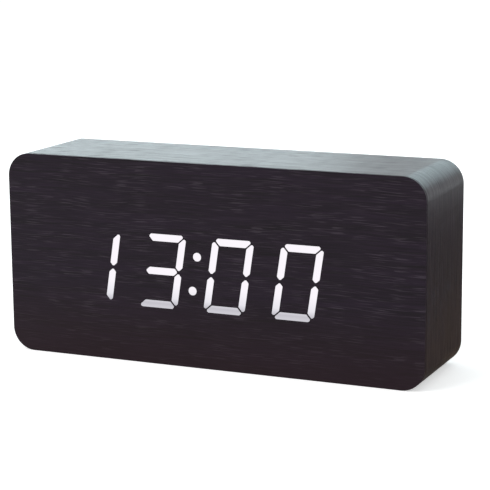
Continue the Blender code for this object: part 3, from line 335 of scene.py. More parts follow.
# %% Build the front sheet
def front_loops(node):
    """The closed outlines on a solid's front face, as lists of X and Z."""
    bm = bmesh.new()
    bm.from_mesh(NODES[node].data)
    bmesh.ops.remove_doubles(bm, verts=bm.verts, dist=0.001 * MM)
    face_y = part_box(node)[0].y + 0.01 * MM
    front = {f for f in bm.faces if f.normal.y < -0.99 and f.calc_center_median().y < face_y}
    rim = {}
    for face in front:
        for loop in face.loops:
            if sum(f in front for f in loop.edge.link_faces) == 1:
                rim[loop.vert] = loop.link_loop_next.vert
    outlines = []
    while rim:
        vert = next(iter(rim))
        outline = []
        while vert in rim:
            outline.append((vert.co.x, vert.co.z))
            vert = rim.pop(vert)
        outlines.append(outline)
    bm.free()
    return sorted(outlines, key=lambda o: min(x for x, z in o))


def flat_curve(name, outlines, low_y, high_y, edge):
    """A plate with holes from closed outlines in X and Z, its edges eased."""
    curve = bpy.data.curves.new(name, "CURVE")
    curve.dimensions = "2D"
    curve.fill_mode = "BOTH"
    curve.extrude = (high_y - low_y) / 2 - edge
    curve.bevel_depth = edge
    curve.bevel_resolution = 2
    curve.offset = -edge
    for outline in outlines:
        spline = curve.splines.new("POLY")
        spline.points.add(len(outline) - 1)
        for point, (x, z) in zip(spline.points, outline):
            point.co = (x, z, 0, 1)
        spline.use_cyclic_u = True
    holder = bpy.data.objects.new(name, curve)
    bpy.context.scene.collection.objects.link(holder)
    bpy.context.view_layer.update()
    mesh = bpy.data.meshes.new_from_object(holder.evaluated_get(bpy.context.evaluated_depsgraph_get()))
    bpy.data.objects.remove(holder)
    upright = Matrix(((1, 0, 0, 0), (0, 0, -1, (low_y + high_y) / 2), (0, 1, 0, 0), (0, 0, 0, 1)))
    mesh.transform(upright)
    bm = bmesh.new()
    bm.from_mesh(mesh)
    bpy.data.meshes.remove(mesh)
    bmesh.ops.remove_doubles(bm, verts=bm.verts, dist=0.002 * MM)
    return bm


def build_front_sheet():
    """The sheet on the front, with a window for each lit bar."""
    low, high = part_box("front_veneer")
    windows = front_loops("front_veneer")[1:]
    bm = flat_curve("front_sheet", [case_outline(0)] + windows, low.y, high.y, 0.08 * MM)
    # The half metre added to V takes this sheet from another place in the wood than the band.
    grain = bm.loops.layers.uv.new("grain")
    for face in bm.faces:
        for loop in face.loops:
            loop[grain].uv = (loop.vert.co.x, loop.vert.co.z + 0.5)
    return finish_mesh(bm, "front_sheet", 12), len(windows)


sheet_mesh, window_count = build_front_sheet()
show("front_sheet", sheet_mesh, [VENEER], "case", "front_veneer")
print("Front sheet:", window_count, "windows,", len(sheet_mesh.polygons), "faces")

# %% [markdown]
# ## The lit figures
#
# Each figure is a milky plastic guide with a light behind it, and its bars end level with the
# veneer. Lit, they are white with a breath of lilac, and the lowest bars get painted shade that
# makes them dimmer and greyer. The solids already have the right shape, so they only need a
# finish: a glow whose strength falls off toward the foot of the figure as painted shade, and only
# on faces that look forward, so that no light spills into the narrow gap round each bar.

# %% Make the light-guide material
def make_guide():
    """Milky acrylic, moulded, lit from behind."""
    material, tree, shader = start_material("acrylic_milky_lit", "#4a484c", 0.35, IOR=1.49, Emission_Strength=1.0)
    low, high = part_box("digit_guide_2")
    place = add_node(tree, "ShaderNodeSeparateXYZ", {0: add_node(tree, "ShaderNodeTexCoord").outputs["Object"]})
    rise = add_node(
        tree,
        "ShaderNodeMapRange",
        {"Value": place.outputs["Z"], "From Min": low.z, "From Max": high.z, "To Min": 0.0, "To Max": 1.0},
    )
    # Painted shade: the glow turns dimmer and greyer towards the foot of each figure.
    ramp = add_node(tree, "ShaderNodeValToRGB", {"Fac": rise.outputs["Result"]})
    ramp.color_ramp.elements[0].color = linear("#c6c4cb")
    ramp.color_ramp.elements[1].position = 0.34
    ramp.color_ramp.elements[1].color = linear("#eee9ef")
    for position, shade in ((0.08, "#b0aeb6"), (0.16, "#dad8df")):
        ramp.color_ramp.elements.new(position).color = linear(shade)
    facing = add_node(
        tree,
        "ShaderNodeVectorMath",
        {0: add_node(tree, "ShaderNodeNewGeometry").outputs["True Normal"], 1: (0.0, -1.0, 0.0)},
        operation="DOT_PRODUCT",
    )
    forward = add_node(tree, "ShaderNodeMath", {0: facing.outputs["Value"], 1: 0.9}, operation="GREATER_THAN")
    glow = add_node(
        tree,
        "ShaderNodeMix",
        {0: forward.outputs[0], COLOUR_A: linear("#151416"), COLOUR_B: ramp.outputs["Color"]},
        data_type="RGBA",
    )
    tree.links.new(glow.outputs[MIXED], shader.inputs["Emission Color"])
    return material


GUIDE = make_guide()
print("Light-guide material made for", sum("guide" in name for name in NODES), "solids")

# %% [markdown]
# ## Moulded plastics, board and metals
#
# The back and everything inside share a handful of ordinary finishes. Moulded plastic has a
# fine spark-eroded texture, sawn fibreboard shows its short matted fibres, plated steel is
# faintly mottled, and a circuit board is glass fibre under green lacquer. One table describes
# each of them by its colours, roughness and the real size of its texture, and one function
# turns a row into a material, because they differ in numbers and not in construction. Where a
# real texture is finer than the picture can show, as the crystals of a plated coat are, the
# table holds the size that shows.

# %% Make the table of plain finishes
# Each row: dark colour, light colour, roughness, metallic, index, texture size, relief.
FINISHES = {
    # ABS from a spark-eroded mould looks soft and even, like fine leather without a grain.
    "abs_black_spark_eroded": ("#111113", "#1d1d20", 0.48, 0.0, 1.53, 0.5 * MM, 0.03 * MM),
    # ABS or epoxy from a polished mould keeps a clear, slightly wavy shine.
    "abs_black_smooth": ("#101012", "#161618", 0.32, 0.0, 1.53, 1.5 * MM, 0.004 * MM),
    # The caps are the same plastic in grey, with a shine between the two.
    "abs_grey_moulded": ("#57585b", "#616266", 0.42, 0.0, 1.53, 0.6 * MM, 0.006 * MM),
    # Pad-printed ink lies flat and slightly broken on its ground.
    "ink_white_printed": ("#c6c6c2", "#dadad6", 0.5, 0.0, 1.5, 0.4 * MM, 0.002 * MM),
    # Sawn fibreboard is dry and mottled by its short matted fibres.
    "fibreboard_sawn": ("#6f5b45", "#8d775c", 0.85, 0.0, 1.5, 0.8 * MM, 0.04 * MM),
    # Nickel plate is warm and bright, and zinc plate is cooler and a little duller.
    "steel_nickel_plated": ("#b9b8b4", "#cfcecb", 0.26, 1.0, 1.5, 0.5 * MM, 0.002 * MM),
    "steel_zinc_plated": ("#a3a5a8", "#bdbfc1", 0.34, 1.0, 1.5, 0.7 * MM, 0.003 * MM),
    # Green lacquer over glass cloth shows the weave of the cloth as faint patches.
    "laminate_green_lacquered": ("#0b3a22", "#14522f", 0.35, 0.0, 1.55, 2.2 * MM, 0.01 * MM),
    # Soft PVC has a dull, waxy shine. The ribbon's relief repeats at the pitch of its strands.
    "pvc_red_insulation": ("#a81c1a", "#bb2724", 0.45, 0.0, 1.53, 1.0 * MM, 0.004 * MM),
    "pvc_black_insulation": ("#151516", "#1d1d1f", 0.45, 0.0, 1.53, 1.0 * MM, 0.004 * MM),
    "pvc_grey_ribbon": ("#9a9b9d", "#abacae", 0.5, 0.0, 1.53, 1.27 * MM, 0.02 * MM),
}


def make_plain(name, dark, light, roughness, metallic, ior, grain_size, relief):
    """One finish from its row: two close colours broken up by a fine texture with a little relief."""
    material, tree, shader = start_material(name, dark, roughness, Metallic=metallic, IOR=ior)
    spot = add_node(tree, "ShaderNodeTexCoord").outputs["Object"]
    noise = add_node(tree, "ShaderNodeTexNoise", {"Vector": spot, "Scale": 1 / grain_size, "Detail": 2.0})
    cloud = add_node(tree, "ShaderNodeTexNoise", {"Vector": spot, "Scale": 1 / (12 * MM), "Detail": 1.0})
    both = add_node(tree, "ShaderNodeMath", {0: noise.outputs["Fac"], 1: cloud.outputs["Fac"]}, operation="ADD")
    share = add_node(
        tree,
        "ShaderNodeMapRange",
        {"Value": both.outputs[0], "From Min": 0.75, "From Max": 1.25, "To Min": 0.0, "To Max": 1.0},
    )
    mixed = add_node(
        tree,
        "ShaderNodeMix",
        {0: share.outputs["Result"], COLOUR_A: linear(dark), COLOUR_B: linear(light)},
        data_type="RGBA",
    )
    tree.links.new(mixed.outputs[MIXED], shader.inputs["Base Color"])
    rubbed = add_node(
        tree,
        "ShaderNodeMapRange",
        {
            "Value": both.outputs[0],
            "From Min": 0.75,
            "From Max": 1.25,
            "To Min": roughness * 0.9,
            "To Max": roughness * 1.1,
        },
    )
    tree.links.new(rubbed.outputs["Result"], shader.inputs["Roughness"])
    bump = add_node(tree, "ShaderNodeBump", {"Height": noise.outputs["Fac"], "Distance": relief, "Strength": 1.0})
    tree.links.new(bump.outputs["Normal"], shader.inputs["Normal"])
    return material


PLAIN = {name: make_plain(name, *row) for name, row in FINISHES.items()}
print("Plain finishes:", ", ".join(PLAIN))

# %% [markdown]
# ## Which solid gets which finish
#
# Most inner pieces are right as they are and only need their material. A node's name says what
# it is, so a short list of name beginnings is enough to hand out the finishes, and the print
# shows at once whether a solid was forgotten.

# %% Hand out the finishes
WHO_WEARS = {
    "abs_black_spark_eroded": ("rear_cover", "battery_door", "display_housing"),
    "abs_black_smooth": ("control_chip", "coin_holder", "tact_switch", "dc_jack", "buzzer"),
    "abs_grey_moulded": ("button_",),
    "fibreboard_sawn": ("case_core", "front_panel"),
    "steel_nickel_plated": ("contact_", "battery_spring", "dc_pin", "coin_cell", "microphone"),
    "steel_zinc_plated": ("rear_screw", "display_screw", "control_screw", "battery_"),
    "laminate_green_lacquered": ("display_board", "control_board"),
    "pvc_red_insulation": ("battery_lead_red",),
    "pvc_black_insulation": ("battery_lead_black",),
    "pvc_grey_ribbon": ("board_ribbon",),
}
# Where two beginnings fit, the longer one counts, so battery_ is left for the cells alone.
finish_of = {start: PLAIN[name] for name, starts in WHO_WEARS.items() for start in starts}
finish_of.update({"digit_guide": GUIDE, "colon_guide": GUIDE, "case_wrap": VENEER, "front_veneer": VENEER})
for name, node in NODES.items():
    start = max((start for start in finish_of if name.startswith(start)), key=len)
    node.data.materials.clear()
    node.data.materials.append(finish_of[start])
print("Every solid has a finish:", all(node.data.materials[0] for node in NODES.values()))

# %% [markdown]
# ## Painted rims of the block
#
# The block under the veneer is sawn fibreboard, and its rear rim shows round the back. On such
# clocks the rim is brushed with black paint so that it matches the veneer, and the board's
# short fibres stay just visible under it. The paint is a second colour in the same material,
# laid where the board comes close to the rear edge, with a slightly ragged border.

# %% Paint the rims
PAINT_DEPTH = 2.4 * MM
RAGGED = 0.25 * MM


def paint_rims(material, rim_y):
    """Black paint over a board material from a little before the rim to its end."""
    tree = material.node_tree
    shader = tree.nodes["Principled BSDF"]
    bare = shader.inputs["Base Color"].links[0].from_socket
    spot = add_node(tree, "ShaderNodeTexCoord").outputs["Object"]
    depth = add_node(tree, "ShaderNodeSeparateXYZ", {0: spot}).outputs["Y"]
    brush = add_node(tree, "ShaderNodeTexNoise", {"Vector": spot, "Scale": 1 / (1.5 * MM), "Detail": 2.0})
    wavy = add_node(tree, "ShaderNodeMath", {0: brush.outputs["Fac"], 1: RAGGED, 2: depth}, operation="MULTIPLY_ADD")
    start = rim_y - PAINT_DEPTH
    limits = {"Value": wavy.outputs[0], "From Min": start, "From Max": start + RAGGED, "To Min": 0.0, "To Max": 1.0}
    painted = add_node(tree, "ShaderNodeMapRange", limits).outputs["Result"]
    shade = add_node(
        tree,
        "ShaderNodeMix",
        {0: brush.outputs["Fac"], COLOUR_A: linear("#141114"), COLOUR_B: linear("#231f22")},
        data_type="RGBA",
    )
    coat = add_node(
        tree, "ShaderNodeMix", {0: painted, COLOUR_A: bare, COLOUR_B: shade.outputs[MIXED]}, data_type="RGBA"
    )
    tree.links.new(coat.outputs[MIXED], shader.inputs["Base Color"])


rim_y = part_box("case_core")[1].y
paint_rims(PLAIN["fibreboard_sawn"], rim_y)
print("Paint starts at", round((rim_y - PAINT_DEPTH) / MM, 2), "mm, the rim is at", round(rim_y / MM, 2), "mm")

# %% [markdown]
# ## Softened edges
#
# Nothing leaves a mould or a saw with razor edges. A radius of a tenth of a millimetre or two
# is enough to catch a thin line of light, and without it the back looks like a drawing. The
# edges could be faked in the shader, but real ones also show in the outline. So the moulded
# pieces and the block are copied, their flat faces are joined up again from triangles, and
# their sharp edges are bevelled. Blender can clamp a bevel so that it never overlaps, but then
# the narrowest step of a piece holds back every edge of it. So each radius is chosen to fit
# between the piece's own steps, and steps under a tenth of a millimetre are closed first. On
# the cover only the edges of its outer face are softened, because the others lie inside.

# %% Soften the edges of copies
SMALLEST_STEP = 0.1 * MM


def soften(node, radius, least_y=-1.0):
    """A copy of a solid with its sharp edges rounded, where both ends lie behind least_y."""
    bm = bmesh.new()
    bm.from_mesh(NODES[node].data)
    bmesh.ops.remove_doubles(bm, verts=bm.verts, dist=SMALLEST_STEP)
    bmesh.ops.dissolve_limit(bm, angle_limit=math.radians(0.5), verts=bm.verts, edges=bm.edges)
    sharp = [
        edge
        for edge in bm.edges
        if edge.calc_face_angle(0.0) > math.radians(40) and min(v.co.y for v in edge.verts) > least_y
    ]
    bmesh.ops.bevel(bm, geom=sharp, offset=radius, segments=3, profile=0.5, affect="EDGES", clamp_overlap=False)
    return finish_mesh(bm, node + "_soft", 14), len(sharp)


outer_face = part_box("rear_cover")[1].y - 0.1 * MM
SOFTENED = {
    "rear_cover": (0.15 * MM, outer_face, "abs_black_spark_eroded", "case", "black_plastic"),
    "battery_door": (0.12 * MM, -1.0, "abs_black_spark_eroded", "battery_door", "black_plastic"),
    "dc_jack": (0.15 * MM, -1.0, "abs_black_smooth", "case", "black_plastic"),
    "case_core": (0.15 * MM, rim_y - 0.1 * MM, "fibreboard_sawn", "case", "fibreboard"),
}
for node, (radius, least_y, finish, body, slot) in SOFTENED.items():
    mesh, count = soften(node, radius, least_y)
    show(node + "_soft", mesh, [PLAIN[finish]], body, node)
    print(node, "has", count, "softened edges and", len(mesh.polygons), "faces")

# %% [markdown]
# ## Round pieces
#
# Buttons, screws and cells are all turned shapes: one profile swept round an axis. Blender's
# Screw modifier could do it, but a few lines that join rings of points give clean quads, and
# they can lay a UV map along the profile at the same time. Each profile is a list of radius
# and height, and a matrix lays the finished piece along its real axis.

# %% Helpers for round pieces
ROUND_STEPS = 56
TO_REAR = Matrix.Rotation(math.radians(-90), 4, "X")
TO_RIGHT = Matrix.Rotation(math.radians(90), 4, "Y")
TO_LEFT = Matrix.Rotation(math.radians(-90), 4, "Y")


def lathe(profile, steps=ROUND_STEPS):
    """A round solid about Z from radius and height points. Its UV map holds the length along the profile."""
    bm = bmesh.new()
    wrap = bm.loops.layers.uv.new("wrap")
    rings = []
    for radius, height in profile:
        turns = range(steps) if radius else range(1)
        angles = [2 * math.pi * i / steps for i in turns]
        rings.append([bm.verts.new((radius * math.cos(a), radius * math.sin(a), height)) for a in angles])
    for here, ahead in zip(rings, rings[1:]):
        for i in range(steps):
            j = (i + 1) % steps
            around = (here[i % len(here)], here[j % len(here)], ahead[j % len(ahead)], ahead[i % len(ahead)])
            corners = list(dict.fromkeys(around))
            face = bm.faces.new(corners)
            for loop in face.loops:
                turn = (i + 1) if loop.vert in (around[1], around[2]) else i
                loop[wrap].uv = (loop.vert.co.z, turn / steps)
    return bm


def prism(bm, outline, low, high, draft):
    """Add a closed upright prism on an outline to a mesh, its top drawn in by a draft. Gives its faces."""
    middle = sum((Vector(p) for p in outline), Vector((0, 0))) / len(outline)
    foot = [bm.verts.new((x, y, low)) for x, y in outline]
    inner = [middle + (Vector(p) - middle) * (1 - draft) for p in outline]
    top = [bm.verts.new((x, y, high)) for x, y in inner]
    faces = [bm.faces.new(top), bm.faces.new(foot[::-1])]
    for i in range(len(foot)):
        j = (i + 1) % len(foot)
        faces.append(bm.faces.new((foot[i], foot[j], top[j], top[i])))
    return faces


print("Round pieces have", ROUND_STEPS, "sides")

# %% [markdown]
# ## Button caps
#
# Each button is a moulded cap with a slight hollow for the finger, a flange that keeps it in
# the cover and a stem that reaches its switch. So that a hand can tell them apart in the dark,
# the hollow carries a raised mark: a bar for set, a triangle up and a triangle down. The marks
# stay just below the rim of the cap, so they never add to its height, and white ink on them
# makes them plain to see.

# %% Build the button caps
HOLLOW = 0.3 * MM
MARK_SIZE = 1.25 * MM


def build_button(node, mark):
    """A cap with its flange, stem and raised mark. The profile starts at the stem's end."""
    low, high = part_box(node)
    cap, flange, stem, face = 3.5 * MM, (high.x - low.x) / 2, 1.5 * MM, high.y - low.y
    neck, shoulder = face - 4.4 * MM, face - 3.6 * MM
    profile = [(0, 0), (stem * 0.85, 0), (stem, 0.25 * MM), (stem, neck), (flange, neck), (flange, shoulder)]
    profile += [(cap, shoulder), (cap, face - 0.5 * MM)]
    profile += [(cap - d, face - s) for d, s in ((0.06 * MM, 0.28 * MM), (0.22 * MM, 0.1 * MM), (0.45 * MM, 0.01 * MM))]
    profile += [(cap - 0.7 * MM, face), (cap - 1.1 * MM, face - 0.07 * MM), (cap - 2.0 * MM, face - 0.2 * MM)]
    profile += [(0, face - HOLLOW)]
    bm = lathe(profile)
    inked = prism(bm, [Vector(p) * MARK_SIZE for p in mark], face - HOLLOW - 0.05 * MM, face - 0.03 * MM, 0.12)
    for part in inked:
        part.material_index = 1
    place = Matrix.Translation(((low.x + high.x) / 2, low.y, (low.z + high.z) / 2))
    bmesh.ops.transform(bm, matrix=place @ TO_REAR, verts=bm.verts)
    return finish_mesh(bm, node + "_cap", 30)


# Seen from the cap's own axis, where the second number points down on the clock.
MARKS = {
    "button_set": [(-0.9, -0.22), (0.9, -0.22), (0.9, 0.22), (-0.9, 0.22)],
    "button_up": [(0.0, -0.85), (0.85, 0.6), (-0.85, 0.6)],
    "button_down": [(0.0, 0.85), (-0.85, -0.6), (0.85, -0.6)],
}
for node, mark in MARKS.items():
    finishes = [PLAIN["abs_grey_moulded"], PLAIN["ink_white_printed"]]
    show(node + "_cap", build_button(node, mark), finishes, node, node)
print("Button caps:", ", ".join(MARKS))

# %% [markdown]
# ## Cover screws
#
# Four self-cutting screws hold the cover. Their pan heads are domed and have a cross recess,
# which is what catches the light on the back. The head and the threaded shank are one turned
# profile, and the recess is a tapered cross taken away with a Boolean, because a Boolean gives
# the crisp rim that a punched recess has. One mesh is cut and then copied to the four places.

# %% Build the cover screws
SCREW_PITCH = 0.9 * MM


def cut(body, tool, name):
    """One mesh minus another, with both thrown away."""
    holders = []
    for bm in (body, tool):
        bmesh.ops.recalc_face_normals(bm, faces=bm.faces)
        mesh = bpy.data.meshes.new(name)
        bm.to_mesh(mesh)
        bm.free()
        holders.append(bpy.data.objects.new(name, mesh))
        bpy.context.scene.collection.objects.link(holders[-1])
    modifier = holders[0].modifiers.new("recess", "BOOLEAN")
    modifier.operation, modifier.solver, modifier.object = "DIFFERENCE", "EXACT", holders[1]
    bpy.context.view_layer.update()
    shape = holders[0].evaluated_get(bpy.context.evaluated_depsgraph_get())
    result = bmesh.new()
    result.from_mesh(shape.to_mesh())
    for holder in holders:
        bpy.data.objects.remove(holder)
    return result


def build_screw(length, head, shank, height):
    """A pan-head screw about Z with its seat at zero."""
    profile = [(0, -length), (0.3 * shank, 0.15 * MM - length), (shank * 0.75, 1.2 * MM - length)]
    turns = int((length - 2.4 * MM) / SCREW_PITCH)
    for i in range(turns):
        start = 1.3 * MM - length + i * SCREW_PITCH
        profile += [(shank, start), (shank * 0.78, start + SCREW_PITCH * 0.3), (shank * 0.78, start + SCREW_PITCH * 0.75)]
    profile += [(shank, -0.9 * MM), (shank, 0), (head * 0.97, 0), (head, 0.1 * MM), (head, height * 0.45)]
    for degrees in (15, 35, 55, 72):
        angle = math.radians(degrees)
        profile.append((head * (0.25 + 0.75 * math.cos(angle)), height * (0.45 + 0.55 * math.sin(angle))))
    profile.append((0, height))
    reach, wide = 0.58 * head, 0.115 * head
    arms = [(reach, -wide), (reach, wide), (wide, wide)]
    cross = [(x * c - y * s, x * s + y * c) for c, s in ((1, 0), (0, 1), (-1, 0), (0, -1)) for x, y in arms]
    tool = bmesh.new()
    levels = ((1.15, height * 1.2), (1.0, height * 0.8), (0.5, height * 0.4))
    rings = [[tool.verts.new((x * k, y * k, z)) for x, y in cross] for k, z in levels]
    tool.faces.new(rings[0])
    tool.faces.new(rings[-1][::-1])
    for here, ahead in zip(rings, rings[1:]):
        for i in range(len(cross)):
            j = (i + 1) % len(cross)
            tool.faces.new((here[i], here[j], ahead[j], ahead[i]))
    return cut(lathe(profile), tool, "cover_screw")


screw_low, screw_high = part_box("rear_screw_1")
head_radius = (screw_high.x - screw_low.x) / 2
screw = build_screw(12 * MM, head_radius, 1.2 * MM, 1.5 * MM)
screw_mesh = finish_mesh(screw, "cover_screw", 30)
for number in range(1, 5):
    low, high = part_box(f"rear_screw_{number}")
    mesh = screw_mesh.copy()
    twist = Matrix.Rotation(math.radians(37 * number), 4, "Z")
    mesh.transform(Matrix.Translation(((low.x + high.x) / 2, low.y + 12 * MM, (low.z + high.z) / 2)) @ TO_REAR @ twist)
    show(f"cover_screw_{number}", mesh, [PLAIN["steel_zinc_plated"]], "case", f"rear_screw_{number}")
bpy.data.meshes.remove(screw_mesh)
print("Cover screws: heads", round(2 * head_radius / MM, 1), "mm")

# %% [markdown]
# ## The cells
#
# Four slim cells lie behind the door, each turned the other way from the next. A cell is a
# steel can with a rolled rim and a raised contact at its plus end, inside a thin printed
# sleeve. The sleeve here is plain slate grey with one pale ring that shows where the plus is.
# The colours follow the length along the cell, which the turned profile's UV map holds.

# %% Build the cells
CAN_END, RING_FROM, RING_TO = 43.6 * MM, 38.5 * MM, 40 * MM


def make_sleeve():
    """Printed film over a steel can: slate grey with one pale ring, satin, and slightly scuffed."""
    material, tree, shader = start_material("film_printed_satin", "#39414a", 0.3, IOR=1.5)
    uv = add_node(tree, "ShaderNodeUVMap", uv_map="wrap")
    along = add_node(tree, "ShaderNodeSeparateXYZ", {0: uv.outputs["UV"]}).outputs["X"]
    middle, half = (RING_FROM + RING_TO) / 2, (RING_TO - RING_FROM) / 2
    ring = add_node(tree, "ShaderNodeMath", {0: along, 1: middle, 2: half}, operation="COMPARE").outputs[0]
    spot = add_node(tree, "ShaderNodeTexCoord").outputs["Object"]
    scuffs = add_node(tree, "ShaderNodeTexNoise", {"Vector": spot, "Scale": 1 / (1.4 * MM), "Detail": 3.0})
    film = add_node(
        tree,
        "ShaderNodeMix",
        {0: scuffs.outputs["Fac"], COLOUR_A: linear("#323a43"), COLOUR_B: linear("#434c56")},
        data_type="RGBA",
    )
    both = add_node(
        tree,
        "ShaderNodeMix",
        {0: ring, COLOUR_A: film.outputs[MIXED], COLOUR_B: linear("#c4c8c9")},
        data_type="RGBA",
    )
    tree.links.new(both.outputs[MIXED], shader.inputs["Base Color"])
    rubbed = add_node(
        tree,
        "ShaderNodeMapRange",
        {"Value": scuffs.outputs["Fac"], "From Min": 0.3, "From Max": 0.7, "To Min": 0.22, "To Max": 0.36},
    )
    tree.links.new(rubbed.outputs["Result"], shader.inputs["Roughness"])
    return material


def build_cell(node, plus_right):
    """A cell from its minus end at zero to its contact, laid along X."""
    low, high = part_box(node)
    radius, length = (high.z - low.z) / 2, high.x - low.x
    profile = [(0, 0), (3.4 * MM, 0), (3.6 * MM, 0.12 * MM), (4.3 * MM, 0.12 * MM), (4.45 * MM, 0.02 * MM)]
    profile += [(4.85 * MM, 0.02 * MM), (5.1 * MM, 0.12 * MM), (radius, 0.4 * MM), (radius, RING_FROM)]
    profile += [(radius, RING_TO), (radius, CAN_END - 0.4 * MM), (5.1 * MM, CAN_END - 0.12 * MM), (4.8 * MM, CAN_END)]
    profile += [(4.55 * MM, CAN_END - 0.1 * MM), (4.45 * MM, CAN_END - 0.35 * MM), (2.1 * MM, CAN_END - 0.35 * MM)]
    profile += [(1.95 * MM, CAN_END - 0.25 * MM), (1.9 * MM, length - 0.25 * MM), (1.75 * MM, length - 0.06 * MM)]
    profile += [(1.5 * MM, length), (0, length)]
    bm = lathe(profile)
    for face in bm.faces:
        face.material_index = int(max(math.hypot(v.co.x, v.co.y) for v in face.verts) < 4.6 * MM)
    x, turn = (low.x, TO_RIGHT) if plus_right else (high.x, TO_LEFT)
    place = Matrix.Translation((x, (low.y + high.y) / 2, (low.z + high.z) / 2))
    bmesh.ops.transform(bm, matrix=place @ turn, verts=bm.verts)
    return finish_mesh(bm, node + "_can", 30)


SLEEVE = make_sleeve()
for number in range(1, 5):
    cell = build_cell(f"battery_{number}", number in (1, 3))
    finishes = [SLEEVE, PLAIN["steel_nickel_plated"]]
    show(f"cell_{number}", cell, finishes, "case", f"battery_{number}")
print("Cells:", len(cell.polygons), "faces each")

# %% [markdown]
# ## Contact springs
#
# The minus end of each cell is pressed by a cone of spring wire. A spring is easiest as a
# curve: points along a helix whose radius shrinks, with the first and last turns lying flat as
# they do on a real spring, and the curve's bevel gives the round wire.

# %% Build the springs
SPRING_TURNS, WIRE, POINTS_A_TURN = 4.5, 0.25 * MM, 36


def build_spring(node, towards_right):
    """A conical spring as a bevelled helix, its wide end at the contact plate."""
    low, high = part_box(node)
    wide, narrow = (high.z - low.z) / 2 - WIRE, 1.75 * MM
    foot, tip = (low.x + WIRE, high.x - WIRE) if towards_right else (high.x - WIRE, low.x + WIRE)
    curve = bpy.data.curves.new(node, "CURVE")
    curve.dimensions = "3D"
    curve.bevel_depth, curve.bevel_resolution = WIRE, 2
    curve.use_fill_caps = True
    spline = curve.splines.new("POLY")
    count = int(SPRING_TURNS * POINTS_A_TURN)
    spline.points.add(count)
    for i, point in enumerate(spline.points):
        turn = i / POINTS_A_TURN
        rise = min(max((turn - 0.75) / (SPRING_TURNS - 1.5), 0.0), 1.0)
        radius, angle = wide + (narrow - wide) * rise, 2 * math.pi * turn
        y, z = (low.y + high.y) / 2 + radius * math.cos(angle), (low.z + high.z) / 2 + radius * math.sin(angle)
        point.co = (foot + (tip - foot) * rise, y, z, 1)
    holder = bpy.data.objects.new(node, curve)
    bpy.context.scene.collection.objects.link(holder)
    bpy.context.view_layer.update()
    mesh = bpy.data.meshes.new_from_object(holder.evaluated_get(bpy.context.evaluated_depsgraph_get()))
    bpy.data.objects.remove(holder)
    mesh.name = node + "_wire"
    mesh.materials.clear()
    mesh.shade_smooth()
    return mesh


for number in range(1, 5):
    node = f"battery_spring_{number}"
    wire = build_spring(node, number in (1, 3))
    show(f"spring_{number}", wire, [PLAIN["steel_nickel_plated"]], "case", node)
print("Springs:", SPRING_TURNS, "turns of", 2 * WIRE / MM, "mm wire")

# %% [markdown]
# ## Floor and background
#
# The clock stands on a plain white floor that runs out of sight. Lit evenly, a white floor is
# nearly white by itself, and the rest is a faint glow that only the camera, mirrors and glass
# see, so the floor turns white in the picture and still keeps the clock's soft shadow. The
# world does the same: white to look at, a little lower as a light.

# %% Lay the floor and light the room
FLOOR_HALF = 6.0
ROOM_LIGHT = 0.62


def seen_directly(tree):
    """One where a ray comes from the camera, a reflection or a view through glass, else zero."""
    path = add_node(tree, "ShaderNodeLightPath")
    either = add_node(
        tree,
        "ShaderNodeMath",
        {0: path.outputs["Is Camera Ray"], 1: path.outputs["Is Glossy Ray"]},
        operation="MAXIMUM",
    )
    return add_node(
        tree,
        "ShaderNodeMath",
        {0: either.outputs[0], 1: path.outputs["Is Transmission Ray"]},
        operation="MAXIMUM",
    ).outputs[0]


floor_mesh = bpy.data.meshes.new("floor")
signs = ((-1, -1), (1, -1), (1, 1), (-1, 1))
floor_mesh.from_pydata([(x * FLOOR_HALF, y * FLOOR_HALF, 0) for x, y in signs], [], [(0, 1, 2, 3)])
floor = bpy.data.objects.new("floor", floor_mesh)
floor.location.z = -0.05 * MM
bpy.context.scene.collection.objects.link(floor)
floor_material, tree, shader = start_material("paper_white_matt", "#f4f4f4", 0.9, Emission_Strength=1.0)
glow = add_node(
    tree,
    "ShaderNodeMix",
    {0: seen_directly(tree), COLOUR_A: (0, 0, 0, 1), COLOUR_B: (0.46, 0.46, 0.46, 1)},
    data_type="RGBA",
)
tree.links.new(glow.outputs[MIXED], shader.inputs["Emission Color"])
floor_mesh.materials.append(floor_material)

world = bpy.data.worlds.new("white_room")
world.use_nodes = True
bpy.context.scene.world = world
tree = world.node_tree
background = tree.nodes["Background"]
background.inputs["Color"].default_value = (1, 1, 1, 1)
strength = add_node(
    tree,
    "ShaderNodeMapRange",
    {"Value": seen_directly(tree), "From Min": 0.0, "From Max": 1.0, "To Min": ROOM_LIGHT, "To Max": 1.0},
)
tree.links.new(strength.outputs["Result"], background.inputs["Strength"])
print("Room light:", ROOM_LIGHT, "of white")

# %% [markdown]
# ## Soft lamps
#
# Four soft boxes do it. A large one above and to the left of the camera shapes the front, and
# a weak one on the right keeps the end from going flat. Two low wide ones behind the clock,
# tinted like daylight, are what the top and its rounded corner mirror at this shallow view,
# which gives them their pale sheen. All are hidden from the camera, because other views would
# otherwise show them.

# %% Hang the lamps
middle = (low_corner + high_corner) / 2
LAMPS = {
    "key_box": ((-0.60, -0.85, 0.80), (0.7, 0.7), 7.0, "#ffffff"),
    "fill_box": ((1.00, -0.45, 0.55), (0.6, 0.6), 1.5, "#ffffff"),
    "sheen_box": ((-0.89, 1.00, 0.30), (1.15, 0.38), 4.15, "#dbf0f4"),
    "corner_box": ((0.16, 1.05, 0.52), (0.9, 0.4), 3.45, "#d4f2f8"),
}
for name, (place, (width, height), watts, tint) in LAMPS.items():
    lamp = bpy.data.lights.new(name, "AREA")
    lamp.color = linear(tint)[:3]
    lamp.shape = "RECTANGLE"
    lamp.size = width
    lamp.size_y = height
    lamp.energy = watts
    holder = bpy.data.objects.new(name, lamp)
    holder.location = place
    holder.rotation_euler = (middle - Vector(place)).to_track_quat("-Z", "Y").to_euler()
    holder.visible_camera = False
    bpy.context.scene.collection.objects.link(holder)
print("Lamps:", {name: row[2] for name, row in LAMPS.items()}, "W")

